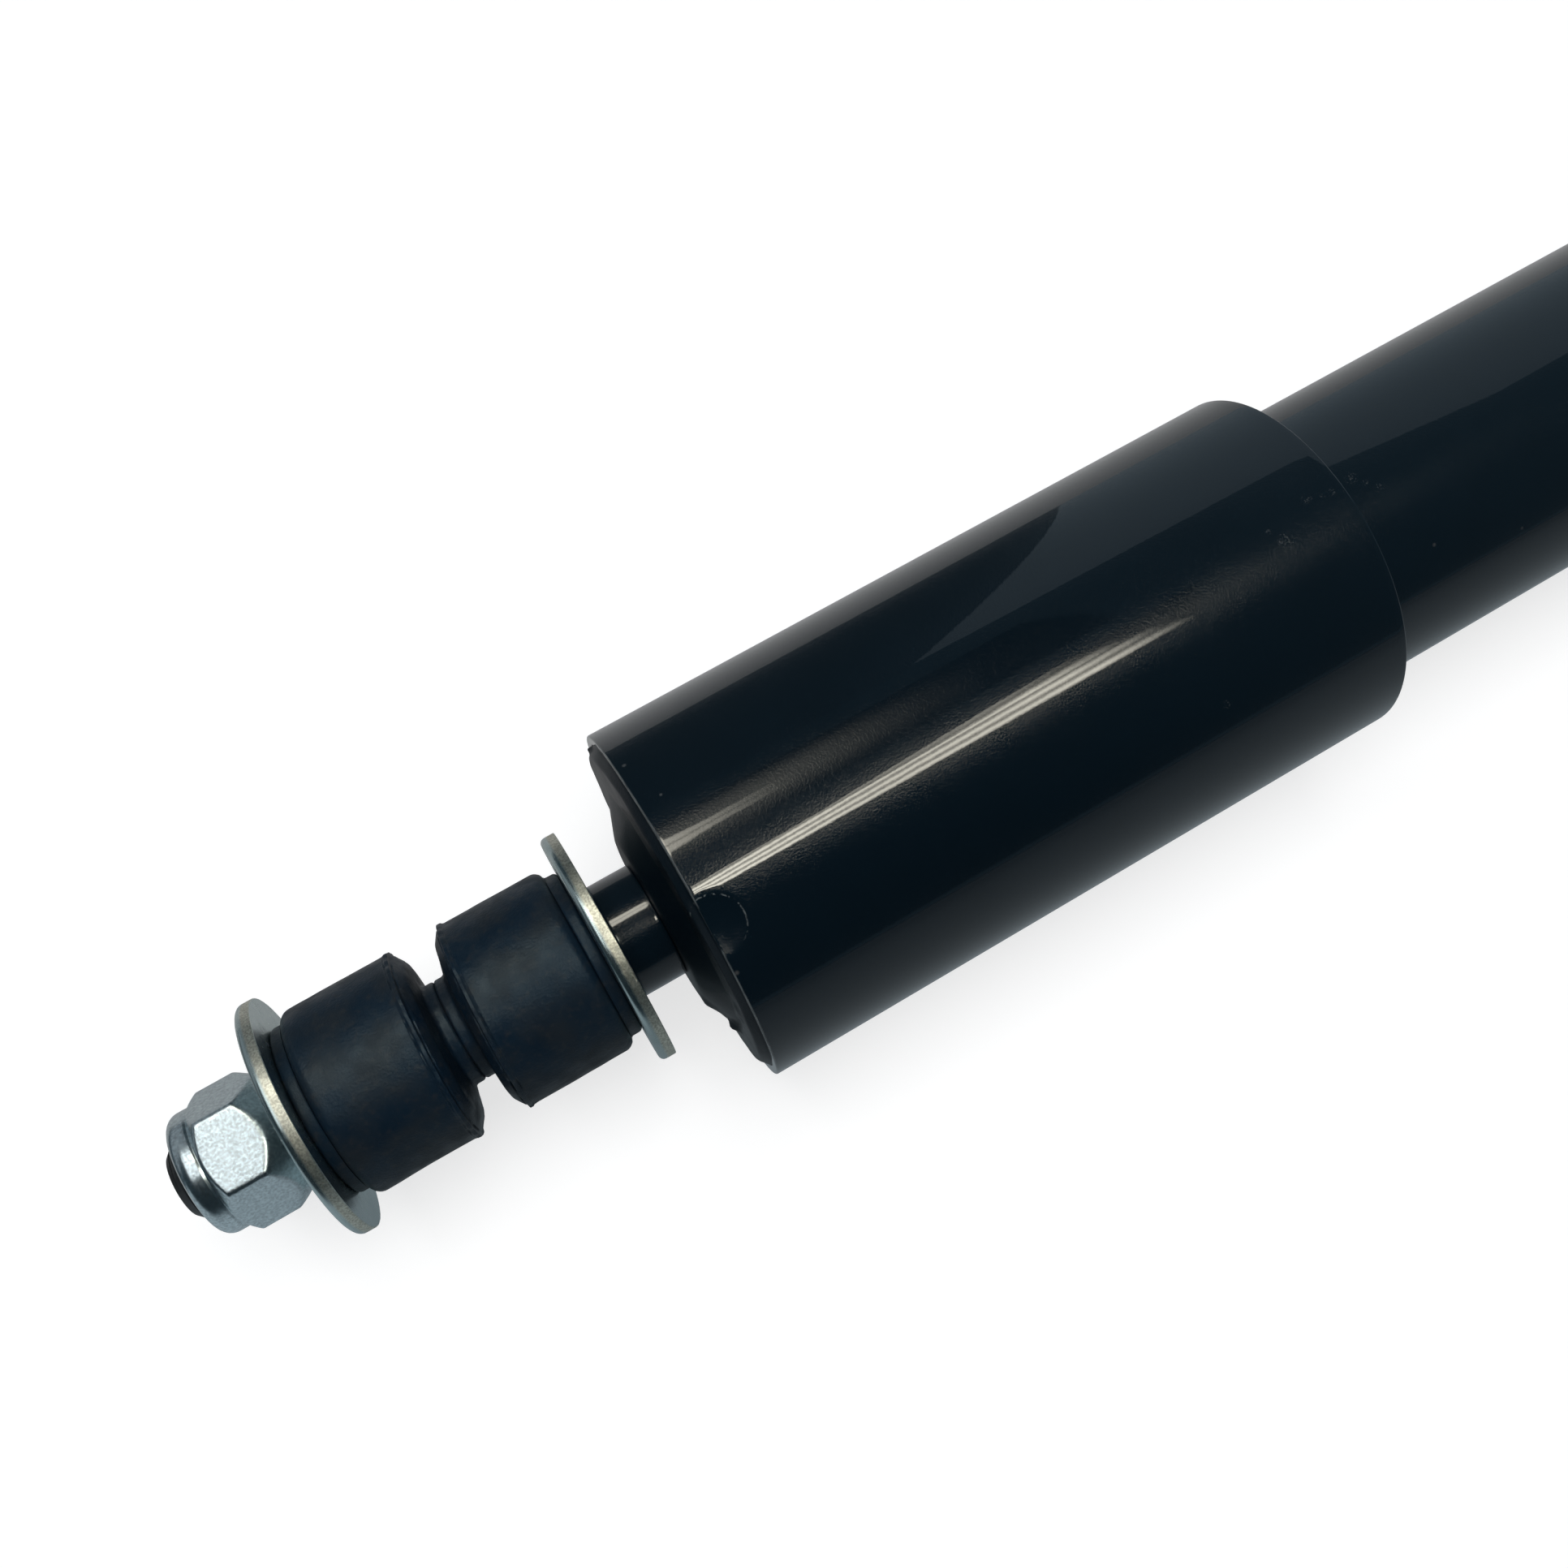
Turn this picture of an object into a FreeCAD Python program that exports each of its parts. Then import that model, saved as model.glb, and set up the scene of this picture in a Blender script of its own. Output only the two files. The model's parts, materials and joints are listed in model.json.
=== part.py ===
"""Twin-tube hydraulic shock absorber with a stem mount above and an eye mount below.

The long axis is X. The origin is the centre of the lower eye, whose bolt lies along Y, and the piston
rod leaves towards +X. A name that ends in _x is a place along that axis and one that ends in _r is a
radius about it. Lengths are in millimetres.
"""
import FreeCAD, Part
import math
import os

# Fits
seat_gap = 0.02
running_gap = 0.04
valve_gap = 0.3
stop_gap = 0.3
spring_gap = 0.1

# Rod travel, from the modelled position, and what is left free at its ends
travel_in = 50.0
travel_out = 40.0
bottom_clearance = 7.5
cap_clearance = 9.6

# Cylinder bore and the tubes around it, each built outwards on the one before
cylinder_bore = 30.0
cylinder_wall = 1.5
oil_annulus = 5.0
reservoir_wall = 1.5
cover_gap = 4.0
cover_wall = 1.5
cover_length = 109.0

# Rolled top edge of the reservoir
rolled_lip_width = 5.5
rolled_edge_round = 3.5

# Rod, its threaded stem above and its piston tenon below
stem_diameter = 12.0
rod_shoulder = 1.0
tenon_shoulder = 2.0
stem_tip_height = 2.0
stem_chamfer = 1.4
tenon_tip_height = 1.0

# Lower eye: steel sleeve, rubber bush and welded ring, from the bolt outwards
eye_bore = 12.2
sleeve_wall = 2.9
sleeve_length = 36.0
sleeve_chamfer = 0.6
eye_rubber = 7.0
eye_lip_height = 1.6
eye_lip_width = 2.2
eye_lip_round = 0.9
eye_ring_wall = 3.0
eye_ring_width = 26.0
eye_weld_neck = 10.5
eye_weld_flare = 4.0

# Dished base of the reservoir
base_dome_depth = 7.0
base_wall = 2.5
base_spigot = 5.0
seam_bead = 2.4
seam_bead_height = 0.9

# Base valve
valve_foot_height = 5.0
valve_foot_wall = 3.0
valve_foot_slots = 4
valve_foot_slot_width = 8.0
valve_foot_slot_height = 3.4
valve_disc = 10.0
valve_flange = 2.0
valve_flange_lip = 1.5
valve_rivet = 8.0
rivet_head_height = 2.5
rivet_head_edge = 0.6
intake_ports = 6
intake_port = 3.0
intake_plate_margin = 1.5
intake_plate_thickness = 1.0
intake_plate_land = 0.9
intake_spring_length = 4.0
intake_spring_wire = 0.8
intake_spring_turns = 2.0
bleed_ports = 4
bleed_port = 2.0
bleed_port_wall = 1.5
bleed_window_margin = 0.4
shim_count = 3
shim_thickness = 0.4
shim_step = 0.9

# Piston
piston_height = 14.0
piston_gap = 0.3
band_height = 9.0
band_thickness = 1.6
band_side_gap = 0.1
band_slit = 0.8
hub_wall = 1.2
port_wall = 0.8
transfer_ports = 6
transfer_port = 2.4
rebound_ports = 6
rebound_port = 2.0
rebound_port_wall = 2.0
port_window_margin = 0.2
plate_land = 0.6
check_plate_thickness = 1.0
check_spring_length = 3.2
check_spring_wire = 0.7
check_spring_turns = 1.5
check_stop_thickness = 2.0
check_stop_edge = 0.8
rebound_plate_thickness = 1.2
rebound_spring_length = 9.0
rebound_spring_wire = 1.8
rebound_spring_turns = 2.5
piston_nut_flats = 17.0
piston_nut_hex = 6.5
piston_nut_flange = 2.5
stop_ring_height = 3.0
stop_ring_width = 3.5
bumper_height = 6.0
bumper_width = 5.0
bumper_round = 1.2

# Rod guide and seal
guide_spigot = 8.0
guide_flange = 10.0
guide_chamfer = 1.0
guide_bush_wall = 1.5
guide_floor = 2.0
drain_holes = 3
drain_hole = 2.0
seal_section = 6.0
seal_ring = 1.8
seal_lip_root = 1.3
seal_lip_back = 2.0
seal_web = 3.8
main_lip_setback = 2.0
dust_lip_setback = 0.8
garter_wire = 1.4
seal_cap_thickness = 2.5
seal_cap_gap = 0.6

# Dust cap at the top of the cover, and the dents that crimp the two together
cap_wall = 2.0
cap_rise = 3.9
cap_boss_edge = 4.1
cap_boss_round = 4.0
cap_slope_width = 6.4
cap_slope_drop = 2.5
cap_slope_round = 0.6
cap_ring_fall = 0.2
cap_ring_bevel = 1.4
cap_ring_round = 1.0
cap_rim_round = 1.0
cap_skirt = 8.0
dent_count = 3
dent_turn = 23.3
dent_ball = 9.0
dent_depth = 1.2
dent_setback = 0.8

# Stem stack: collar, washer, bush, bush, washer, lock nut
collar_diameter = 18.2
collar_length = 7.1
collar_chamfer = 0.4
washer_diameter = 37.0
washer_bore = 13.0
washer_thickness = 2.5
washer_round = 0.6
bush_diameter = 29.5
bush_stem_gap = 0.1
bush_lip_width = 2.0
bush_lip_step = 1.5
bush_lip_round = 0.7
bush_body_length = 16.4
bush_shoulder_round = 1.6
bush_flash = 0.35
bush_flash_width = 0.6
bush_cone_length = 2.5
bush_neck_diameter = 16.0
bush_neck_length = 2.0
nut_flats = 19.0
nut_hex_height = 12.3
nut_face_inset = 2.3
nut_face_slope = 35.0
nut_shoulder_slope = 48.0
nut_turn = 6.0
nut_collar_inset = 0.1
nut_collar_height = 3.7
nut_collar_round = 2.0
insert_wall = 2.2
insert_height = 3.3
insert_lip = 0.7
insert_lip_cover = 1.2

ORIGIN = FreeCAD.Vector(0, 0, 0)
X_AXIS = FreeCAD.Vector(1, 0, 0)
Y_AXIS = FreeCAD.Vector(0, 1, 0)

# Radii of the coaxial tubes
bore_r = cylinder_bore / 2
cylinder_r = bore_r + cylinder_wall
reservoir_bore_r = cylinder_r + oil_annulus
reservoir_r = reservoir_bore_r + reservoir_wall
cover_bore_r = reservoir_r + cover_gap
cover_r = cover_bore_r + cover_wall

# Radii of the rod
stem_r = stem_diameter / 2
rod_r = stem_r + rod_shoulder
tenon_r = rod_r - tenon_shoulder

# Radii of the lower eye about its own bolt
eye_bore_r = eye_bore / 2
sleeve_r = eye_bore_r + sleeve_wall
eye_rubber_r = sleeve_r + eye_rubber
eye_ring_r = eye_rubber_r + eye_ring_wall

# Sphere of the dished base
dome_r = (reservoir_r ** 2 + base_dome_depth ** 2) / (2 * base_dome_depth)
dome_centre_x = eye_ring_r + dome_r
base_seam_x = eye_ring_r + base_dome_depth


def inside_dome_x(radius):
    """Place of the base's inner face at a given radius."""
    return dome_centre_x - math.sqrt((dome_r - base_wall) ** 2 - radius ** 2)


# Base valve radii and places
valve_flange_r = cylinder_r + valve_flange_lip
rivet_r = valve_rivet / 2
intake_plate_r = bore_r - intake_plate_margin
intake_circle_r = intake_plate_r - intake_plate_land - intake_port / 2
bleed_circle_r = rivet_r + bleed_port_wall + bleed_port / 2
bleed_window_r = bleed_port / 2 + bleed_window_margin
intake_spring_r = bleed_circle_r + bleed_window_r + intake_spring_wire
rivet_head_r = intake_spring_r + intake_spring_wire / 2 + rivet_head_edge
valve_bottom_x = inside_dome_x(valve_flange_r) + valve_foot_height
cylinder_start_x = valve_bottom_x + valve_flange
valve_top_x = valve_bottom_x + valve_disc
intake_plate_top_x = valve_top_x + intake_plate_thickness
rivet_head_x = intake_plate_top_x + intake_spring_length
rivet_top_x = rivet_head_x + rivet_head_height
shims_x = valve_bottom_x - shim_count * shim_thickness
rivet_bottom_x = shims_x - rivet_head_height

# Piston radii
piston_r = bore_r - piston_gap
band_outer_r = bore_r - running_gap
band_groove_r = band_outer_r - band_thickness
hub_r = tenon_r + hub_wall
transfer_circle_r = band_groove_r - port_wall - transfer_port / 2
rebound_circle_r = hub_r + rebound_port_wall
check_plate_r = transfer_circle_r + transfer_port / 2 + plate_land
rebound_plate_r = rebound_circle_r + rebound_port / 2 + plate_land
check_spring_r = transfer_circle_r
check_stop_r = check_spring_r + check_spring_wire / 2 + check_stop_edge
rebound_spring_r = hub_r + valve_gap + rebound_spring_wire / 2

# Places along the rod's lower end, from the tenon's tip upwards
tenon_tip_x = rivet_top_x + bottom_clearance + travel_in
piston_nut_x = tenon_tip_x + tenon_tip_height
piston_nut_flange_x = piston_nut_x + piston_nut_hex
piston_nut_top_x = piston_nut_flange_x + piston_nut_flange
rebound_plate_x = piston_nut_top_x + rebound_spring_length
piston_x = rebound_plate_x + rebound_plate_thickness
piston_top_x = piston_x + piston_height
check_plate_top_x = piston_top_x + check_plate_thickness
hub_top_x = check_plate_top_x + check_spring_length
rod_start_x = hub_top_x + check_stop_thickness
stop_ring_top_x = rod_start_x + stop_ring_height
bumper_top_x = stop_ring_top_x + bumper_height

# Places of the rod guide and the reservoir's top
guide_x = bumper_top_x + travel_out + stop_gap
cylinder_end_x = guide_x + guide_spigot
seal_x = cylinder_end_x + guide_floor
guide_top_x = cylinder_end_x + guide_flange
seal_cap_top_x = guide_top_x + seal_cap_thickness
reservoir_top_x = seal_cap_top_x + reservoir_wall

# Places of the cover and the stem stack
cap_seat_x = reservoir_top_x + cap_clearance + travel_in
cap_top_x = cap_seat_x + cap_wall
cover_rim_x = cap_top_x - cap_rise
cover_end_x = cover_rim_x - cover_length
collar_top_x = cap_top_x + collar_length
inner_bush_x = collar_top_x + washer_thickness
bush_length = bush_lip_width + bush_body_length + bush_cone_length + bush_neck_length
bush_joint_x = inner_bush_x + bush_length
outer_washer_x = bush_joint_x + bush_length
nut_x = outer_washer_x + washer_thickness
nut_hex_top_x = nut_x + nut_hex_height
nut_top_x = nut_hex_top_x + nut_collar_height
insert_top_x = nut_top_x - insert_lip
insert_x = insert_top_x - insert_height
stem_tip_x = nut_top_x + stem_tip_height


def corner_arc(before, corner, after, radius):
    """Arc that rounds a corner, with the two points where it meets the straight runs."""
    towards_before = (before - corner).normalize()
    towards_after = (after - corner).normalize()
    half_angle = towards_before.getAngle(towards_after) / 2
    reach = radius / math.tan(half_angle)
    start = corner + towards_before * reach
    end = corner + towards_after * reach
    inward = (towards_before + towards_after).normalize()
    middle = corner + inward * (radius / math.sin(half_angle) - radius)
    return start, Part.Arc(start, middle, end).toShape(), end


def outline(corners, about):
    """Closed wire of (along, radius) corners; a third number in a corner is its rounding."""
    points = [FreeCAD.Vector(c[0], c[1], 0) for c in corners]
    if about == Y_AXIS:
        points = [FreeCAD.Vector(p.y, p.x, 0) for p in points]
    starts, arcs, ends = [], [], []
    for index, corner in enumerate(corners):
        point = points[index]
        start, arc, end = point, None, point
        if len(corner) == 3:
            after = points[(index + 1) % len(points)]
            start, arc, end = corner_arc(points[index - 1], point, after, corner[2])
        starts.append(start)
        arcs.append(arc)
        ends.append(end)
    edges = []
    for index, arc in enumerate(arcs):
        if arc is not None:
            edges.append(arc)
        following = starts[(index + 1) % len(starts)]
        edges.append(Part.makeLine(ends[index], following))
    return Part.Wire(edges)


def turned(corners, about=X_AXIS):
    """Solid of revolution from (along, radius) corners."""
    return Part.Face(outline(corners, about)).revolve(ORIGIN, about, 360)


def ring(start_x, end_x, inner_r, outer_r):
    """Plain ring about the long axis."""
    return turned([(start_x, inner_r), (start_x, outer_r), (end_x, outer_r), (end_x, inner_r)])


def disc(start_x, end_x, radius):
    """Plain disc about the long axis."""
    return Part.makeCylinder(radius, end_x - start_x, FreeCAD.Vector(start_x, 0, 0), X_AXIS)


def around(shape, count, first_degrees=0.0):
    """Copies of a shape spread evenly about the long axis, as one compound."""
    copies = []
    for index in range(count):
        copy = shape.copy()
        copy.rotate(ORIGIN, X_AXIS, first_degrees + 360.0 * index / count)
        copies.append(copy)
    return Part.makeCompound(copies)


def drilled(start_x, end_x, circle_r, diameter, count, first_degrees=0.0):
    """Ring of drill holes along the long axis."""
    centre = FreeCAD.Vector(start_x, 0, circle_r)
    hole = Part.makeCylinder(diameter / 2, end_x - start_x, centre, X_AXIS)
    return around(hole, count, first_degrees)


def ball(centre, radius):
    return Part.makeSphere(radius, centre)


def coil(start_x, end_x, mean_r, wire, turns):
    """Round-wire spring that stands just clear of the two faces it presses on."""
    height = end_x - start_x - wire - 2 * spring_gap
    path = Part.makeHelix(height / turns, height, mean_r)
    section = Part.makeCircle(wire / 2, FreeCAD.Vector(mean_r, 0, 0), Y_AXIS)
    spring = Part.Wire(path).makePipeShell([Part.Wire(section)], True, True)
    spring.rotate(ORIGIN, Y_AXIS, 90)
    spring.translate(FreeCAD.Vector(start_x + wire / 2 + spring_gap, 0, 0))
    return spring


def hexagon(start_x, end_x, flats):
    """Hexagonal prism about the long axis with a flat on top."""
    corner_r = flats / 2 / math.cos(math.radians(30))
    points = []
    for index in range(7):
        angle = math.radians(60 * index)
        points.append(FreeCAD.Vector(start_x, corner_r * math.cos(angle), corner_r * math.sin(angle)))
    return Part.Face(Part.makePolygon(points)).extrude(FreeCAD.Vector(end_x - start_x, 0, 0))


# Lower eye


def eye_sleeve():
    half = sleeve_length / 2
    return turned(
        [
            (-half, eye_bore_r),
            (-half, sleeve_r - sleeve_chamfer),
            (-half + sleeve_chamfer, sleeve_r),
            (half - sleeve_chamfer, sleeve_r),
            (half, sleeve_r - sleeve_chamfer),
            (half, eye_bore_r),
        ],
        Y_AXIS,
    )


def eye_bush():
    """Rubber bush with a lip that folds over each side of the ring."""
    inner = sleeve_r + running_gap
    side = eye_ring_width / 2
    lip_r = eye_rubber_r + eye_lip_height
    end = side + seat_gap + eye_lip_width
    return turned(
        [
            (-end, inner),
            (-end, lip_r, eye_lip_round),
            (-side - seat_gap, lip_r),
            (-side - seat_gap, eye_rubber_r - seat_gap),
            (side + seat_gap, eye_rubber_r - seat_gap),
            (side + seat_gap, lip_r),
            (end, lip_r, eye_lip_round),
            (end, inner),
        ],
        Y_AXIS,
    )


def eye_ring():
    """Ring with the weld saddle that joins it to the base."""
    half = eye_ring_width / 2
    below = FreeCAD.Vector(0, -half, 0)
    hoop = Part.makeCylinder(eye_ring_r, eye_ring_width, below, Y_AXIS)
    saddle_end_x = eye_ring_r + base_dome_depth
    neck_x = eye_ring_r - eye_weld_flare
    saddle = turned(
        [
            (0, 0),
            (0, eye_weld_neck),
            (neck_x, eye_weld_neck, eye_weld_flare),
            (saddle_end_x, eye_weld_neck + eye_weld_flare),
            (saddle_end_x, 0),
        ]
    )
    dome = ball(FreeCAD.Vector(dome_centre_x, 0, 0), dome_r + seat_gap)
    bore = Part.makeCylinder(eye_rubber_r, eye_ring_width, below, Y_AXIS)
    return hoop.fuse(saddle.cut(dome)).cut(bore).removeSplitter()


# Reservoir


def base_cup():
    """Dished base with a spigot inside the reservoir and the seam weld around it."""
    spigot_r = reservoir_bore_r - seat_gap
    spigot_end_x = base_seam_x + base_spigot
    blank = disc(eye_ring_r, spigot_end_x, spigot_r)
    shell = blank.common(ball(FreeCAD.Vector(dome_centre_x, 0, 0), dome_r))
    rim = ring(base_seam_x - seam_bead, base_seam_x, spigot_r - base_wall, reservoir_r)
    rim = rim.common(ball(FreeCAD.Vector(dome_centre_x, 0, 0), dome_r))
    bead_r = reservoir_r + seam_bead_height - seam_bead
    bead = Part.makeTorus(bead_r, seam_bead, FreeCAD.Vector(base_seam_x, 0, 0), X_AXIS)
    tube_wall = ring(base_seam_x, spigot_end_x, spigot_r, reservoir_r + seat_gap)
    hollow = ball(FreeCAD.Vector(dome_centre_x, 0, 0), dome_r - base_wall)
    spigot_bore = disc(eye_ring_r, spigot_end_x, spigot_r - base_wall)
    bead = bead.cut(disc(base_seam_x - 2 * seam_bead, spigot_end_x, spigot_r))
    bead = bead.cut(tube_wall)
    return shell.fuse([rim, bead]).cut(hollow.common(spigot_bore)).removeSplitter()


def reservoir_tube():
    """Outer tube, its top edge rolled in over the seal cap."""
    lip_r = reservoir_bore_r - rolled_lip_width
    return turned(
        [
            (base_seam_x, reservoir_bore_r),
            (base_seam_x, reservoir_r),
            (reservoir_top_x, reservoir_r, rolled_edge_round),
            (reservoir_top_x, lip_r),
            (seal_cap_top_x, lip_r),
            (seal_cap_top_x, reservoir_bore_r),
        ]
    )


# Base valve


def base_valve_body():
    """Ported disc on a slotted foot, with a spigot for the cylinder and a flange under it."""
    flange = disc(valve_bottom_x, cylinder_start_x, valve_flange_r)
    spigot = disc(cylinder_start_x, valve_top_x, bore_r - seat_gap)
    foot = ring(eye_ring_r, valve_bottom_x, valve_flange_r - valve_foot_wall, valve_flange_r)
    foot = foot.common(ball(FreeCAD.Vector(dome_centre_x, 0, 0), dome_r - base_wall - seat_gap))
    slot = Part.makeBox(
        valve_bottom_x - eye_ring_r - valve_foot_height + valve_foot_slot_height,
        valve_foot_slot_width,
        valve_flange_r,
        FreeCAD.Vector(eye_ring_r, -valve_foot_slot_width / 2, 0),
    )
    foot = foot.cut(around(slot, valve_foot_slots))
    body = foot.fuse([flange, spigot]).removeSplitter()
    holes = [
        disc(valve_bottom_x, valve_top_x, rivet_r + seat_gap),
        drilled(valve_bottom_x, valve_top_x, intake_circle_r, intake_port, intake_ports),
        drilled(valve_bottom_x, valve_top_x, bleed_circle_r, bleed_port, bleed_ports),
    ]
    return body.cut(holes)


def base_intake_plate():
    """Thin check plate over the intake ports, with windows over the bleed ports."""
    plate = ring(valve_top_x, intake_plate_top_x, rivet_r + valve_gap, intake_plate_r)
    window = 2 * bleed_window_r
    return plate.cut(drilled(valve_top_x, intake_plate_top_x, bleed_circle_r, window, bleed_ports))


def base_intake_spring():
    return coil(
        intake_plate_top_x, rivet_head_x, intake_spring_r, intake_spring_wire, intake_spring_turns
    )


def base_valve_rivet():
    """Headed rivet that holds the plate, its spring and the shims on the valve body."""
    lower_head_r = bleed_circle_r
    return turned(
        [
            (rivet_bottom_x, 0),
            (rivet_bottom_x, lower_head_r, rivet_head_edge),
            (shims_x, lower_head_r),
            (shims_x, rivet_r),
            (rivet_head_x, rivet_r),
            (rivet_head_x, rivet_head_r),
            (rivet_top_x, rivet_head_r, rivet_head_edge),
            (rivet_top_x, 0),
        ]
    )


def compression_shims():
    """Stack of bending shims under the bleed ports, the widest against the valve body."""
    widest_r = bleed_circle_r + bleed_port / 2 + shim_step
    shims = []
    for index in range(shim_count):
        top_x = valve_bottom_x - index * shim_thickness
        shim_r = widest_r - index * shim_step
        shims.append(ring(top_x - shim_thickness, top_x, rivet_r + seat_gap, shim_r))
    return Part.makeCompound(shims)


def pressure_tube():
    return ring(cylinder_start_x, cylinder_end_x, bore_r, cylinder_r)


# Rod guide and seal


def rod_guide():
    """Flanged guide that centres the cylinder in the reservoir and holds the seal."""
    bush_r = rod_r + running_gap + guide_bush_wall
    seal_r = rod_r + seal_section
    spigot_r = bore_r - seat_gap
    flange_r = reservoir_bore_r - seat_gap
    body = turned(
        [
            (guide_x, bush_r + seat_gap),
            (guide_x, spigot_r - guide_chamfer),
            (guide_x + guide_chamfer, spigot_r),
            (cylinder_end_x, spigot_r),
            (cylinder_end_x, flange_r),
            (guide_top_x, flange_r),
            (guide_top_x, seal_r),
            (seal_x, seal_r),
            (seal_x, bush_r + seat_gap),
        ]
    )
    drain_circle_r = (cylinder_r + flange_r) / 2
    return body.cut(drilled(cylinder_end_x, guide_top_x, drain_circle_r, drain_hole, drain_holes))


def guide_bush():
    bore = rod_r + running_gap
    return ring(guide_x, seal_x, bore, bore + guide_bush_wall)


def rod_seal():
    """Rubber seal with a spring-loaded main lip below and a dust lip above."""
    outer = rod_r + seal_section - seat_gap
    tip = rod_r + running_gap
    lip_root = rod_r + seal_lip_root
    lip_back = rod_r + seal_lip_back
    ring_inner = outer - seal_ring
    return turned(
        [
            (seal_x, ring_inner),
            (seal_x, outer),
            (guide_top_x, outer),
            (guide_top_x, lip_root),
            (guide_top_x - dust_lip_setback, tip),
            (guide_top_x - 2 * dust_lip_setback, lip_root),
            (seal_x + seal_web, lip_root),
            (seal_x + main_lip_setback, tip),
            (seal_x + seal_lip_root - running_gap, lip_root - seal_lip_root / 3),
            (seal_x + seal_lip_root / 2, lip_back),
            (seal_x + seal_web, lip_back),
            (seal_x + seal_web, ring_inner),
        ]
    )


def seal_garter_spring():
    mean_r = rod_r + seal_lip_back + garter_wire / 2 + seat_gap
    return Part.makeTorus(mean_r, garter_wire / 2, FreeCAD.Vector(seal_x + main_lip_setback, 0, 0), X_AXIS)


def seal_cap():
    return ring(guide_top_x, seal_cap_top_x, rod_r + seal_cap_gap, reservoir_bore_r - seat_gap)


# Rod and piston


def piston_rod():
    """Rod with a stem for the upper mount and a tenon for the piston."""
    return turned(
        [
            (tenon_tip_x, 0),
            (tenon_tip_x, tenon_r - tenon_tip_height),
            (piston_nut_x, tenon_r),
            (rod_start_x, tenon_r),
            (rod_start_x, rod_r),
            (cap_seat_x, rod_r),
            (cap_seat_x, stem_r),
            (stem_tip_x - stem_chamfer, stem_r),
            (stem_tip_x, stem_r - stem_chamfer),
            (stem_tip_x, 0),
        ]
    )


def piston():
    """Ported piston with a groove for its band and a hub that guides the check plate."""
    groove_x = piston_x + (piston_height - band_height) / 2
    groove_end_x = groove_x + band_height
    bore = tenon_r + seat_gap
    body = turned(
        [
            (piston_x, bore),
            (piston_x, piston_r),
            (groove_x, piston_r),
            (groove_x, band_groove_r),
            (groove_end_x, band_groove_r),
            (groove_end_x, piston_r),
            (piston_top_x, piston_r),
            (piston_top_x, hub_r),
            (hub_top_x, hub_r),
            (hub_top_x, bore),
        ]
    )
    half_step = 180.0 / rebound_ports
    ports = [
        drilled(piston_x, piston_top_x, transfer_circle_r, transfer_port, transfer_ports),
        drilled(piston_x, piston_top_x, rebound_circle_r, rebound_port, rebound_ports, half_step),
    ]
    return body.cut(ports)


def piston_band():
    """Split bearing band that slides in the cylinder."""
    middle_x = piston_x + piston_height / 2
    half = band_height / 2 - band_side_gap
    band = ring(middle_x - half, middle_x + half, band_groove_r + running_gap, band_outer_r)
    slit = Part.makeBox(band_height, band_slit, bore_r, FreeCAD.Vector(middle_x - band_height / 2, 0, 0))
    return band.cut(slit)


def piston_check_plate():
    """Plate over the transfer ports, with windows over the rebound ports."""
    plate = ring(piston_top_x, check_plate_top_x, hub_r + valve_gap, check_plate_r)
    window = rebound_port + 2 * port_window_margin
    half_step = 180.0 / rebound_ports
    return plate.cut(
        drilled(piston_top_x, check_plate_top_x, rebound_circle_r, window, rebound_ports, half_step)
    )


def piston_check_spring():
    return coil(check_plate_top_x, hub_top_x, check_spring_r, check_spring_wire, check_spring_turns)


def piston_check_stop():
    return ring(hub_top_x, rod_start_x, tenon_r + seat_gap, check_stop_r)


def rebound_valve_plate():
    return ring(rebound_plate_x, piston_x, hub_r + valve_gap, rebound_plate_r)


def rebound_valve_spring():
    return coil(
        piston_nut_top_x, rebound_plate_x, rebound_spring_r, rebound_spring_wire, rebound_spring_turns
    )


def piston_nut():
    """Flanged nut whose sleeve carries the rebound plate and clamps the piston."""
    grip = hexagon(piston_nut_x, piston_nut_flange_x, piston_nut_flats)
    flange_r = max(rebound_plate_r, piston_nut_flats / 2 / math.cos(math.radians(30)))
    flange = disc(piston_nut_flange_x, piston_nut_top_x, flange_r)
    sleeve = disc(piston_nut_top_x, piston_x, hub_r)
    bore = disc(piston_nut_x, piston_x, tenon_r + seat_gap)
    return grip.fuse([flange, sleeve]).cut(bore).removeSplitter()


def rebound_stop_ring():
    return ring(rod_start_x, stop_ring_top_x, rod_r + seat_gap, rod_r + stop_ring_width)


def rebound_bumper():
    """Cushion ring that meets the rod guide when the rod is drawn right out."""
    outer = rod_r + bumper_width
    inner = rod_r + seat_gap
    return turned(
        [
            (stop_ring_top_x, inner),
            (stop_ring_top_x, outer, bumper_round),
            (bumper_top_x, outer, bumper_round),
            (bumper_top_x, inner),
        ]
    )


# Dust cover


def dent_balls(radius):
    """Balls that press the crimp dents into the cover's rim."""
    centre_r = cover_r + dent_ball - dent_depth
    centre = FreeCAD.Vector(cover_rim_x - dent_setback, 0, centre_r)
    return around(ball(centre, radius), dent_count, -dent_turn)


def dust_cover():
    """Open tube, dented inwards at its upper rim into the cap's skirt."""
    tube = ring(cover_end_x, cover_rim_x, cover_bore_r, cover_r)
    bulges = dent_balls(dent_ball + cover_wall)
    bulges = bulges.common(disc(cover_end_x, cover_rim_x, cover_bore_r + cover_wall / 2))
    return tube.fuse(bulges.Solids).cut(dent_balls(dent_ball)).removeSplitter()


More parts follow.
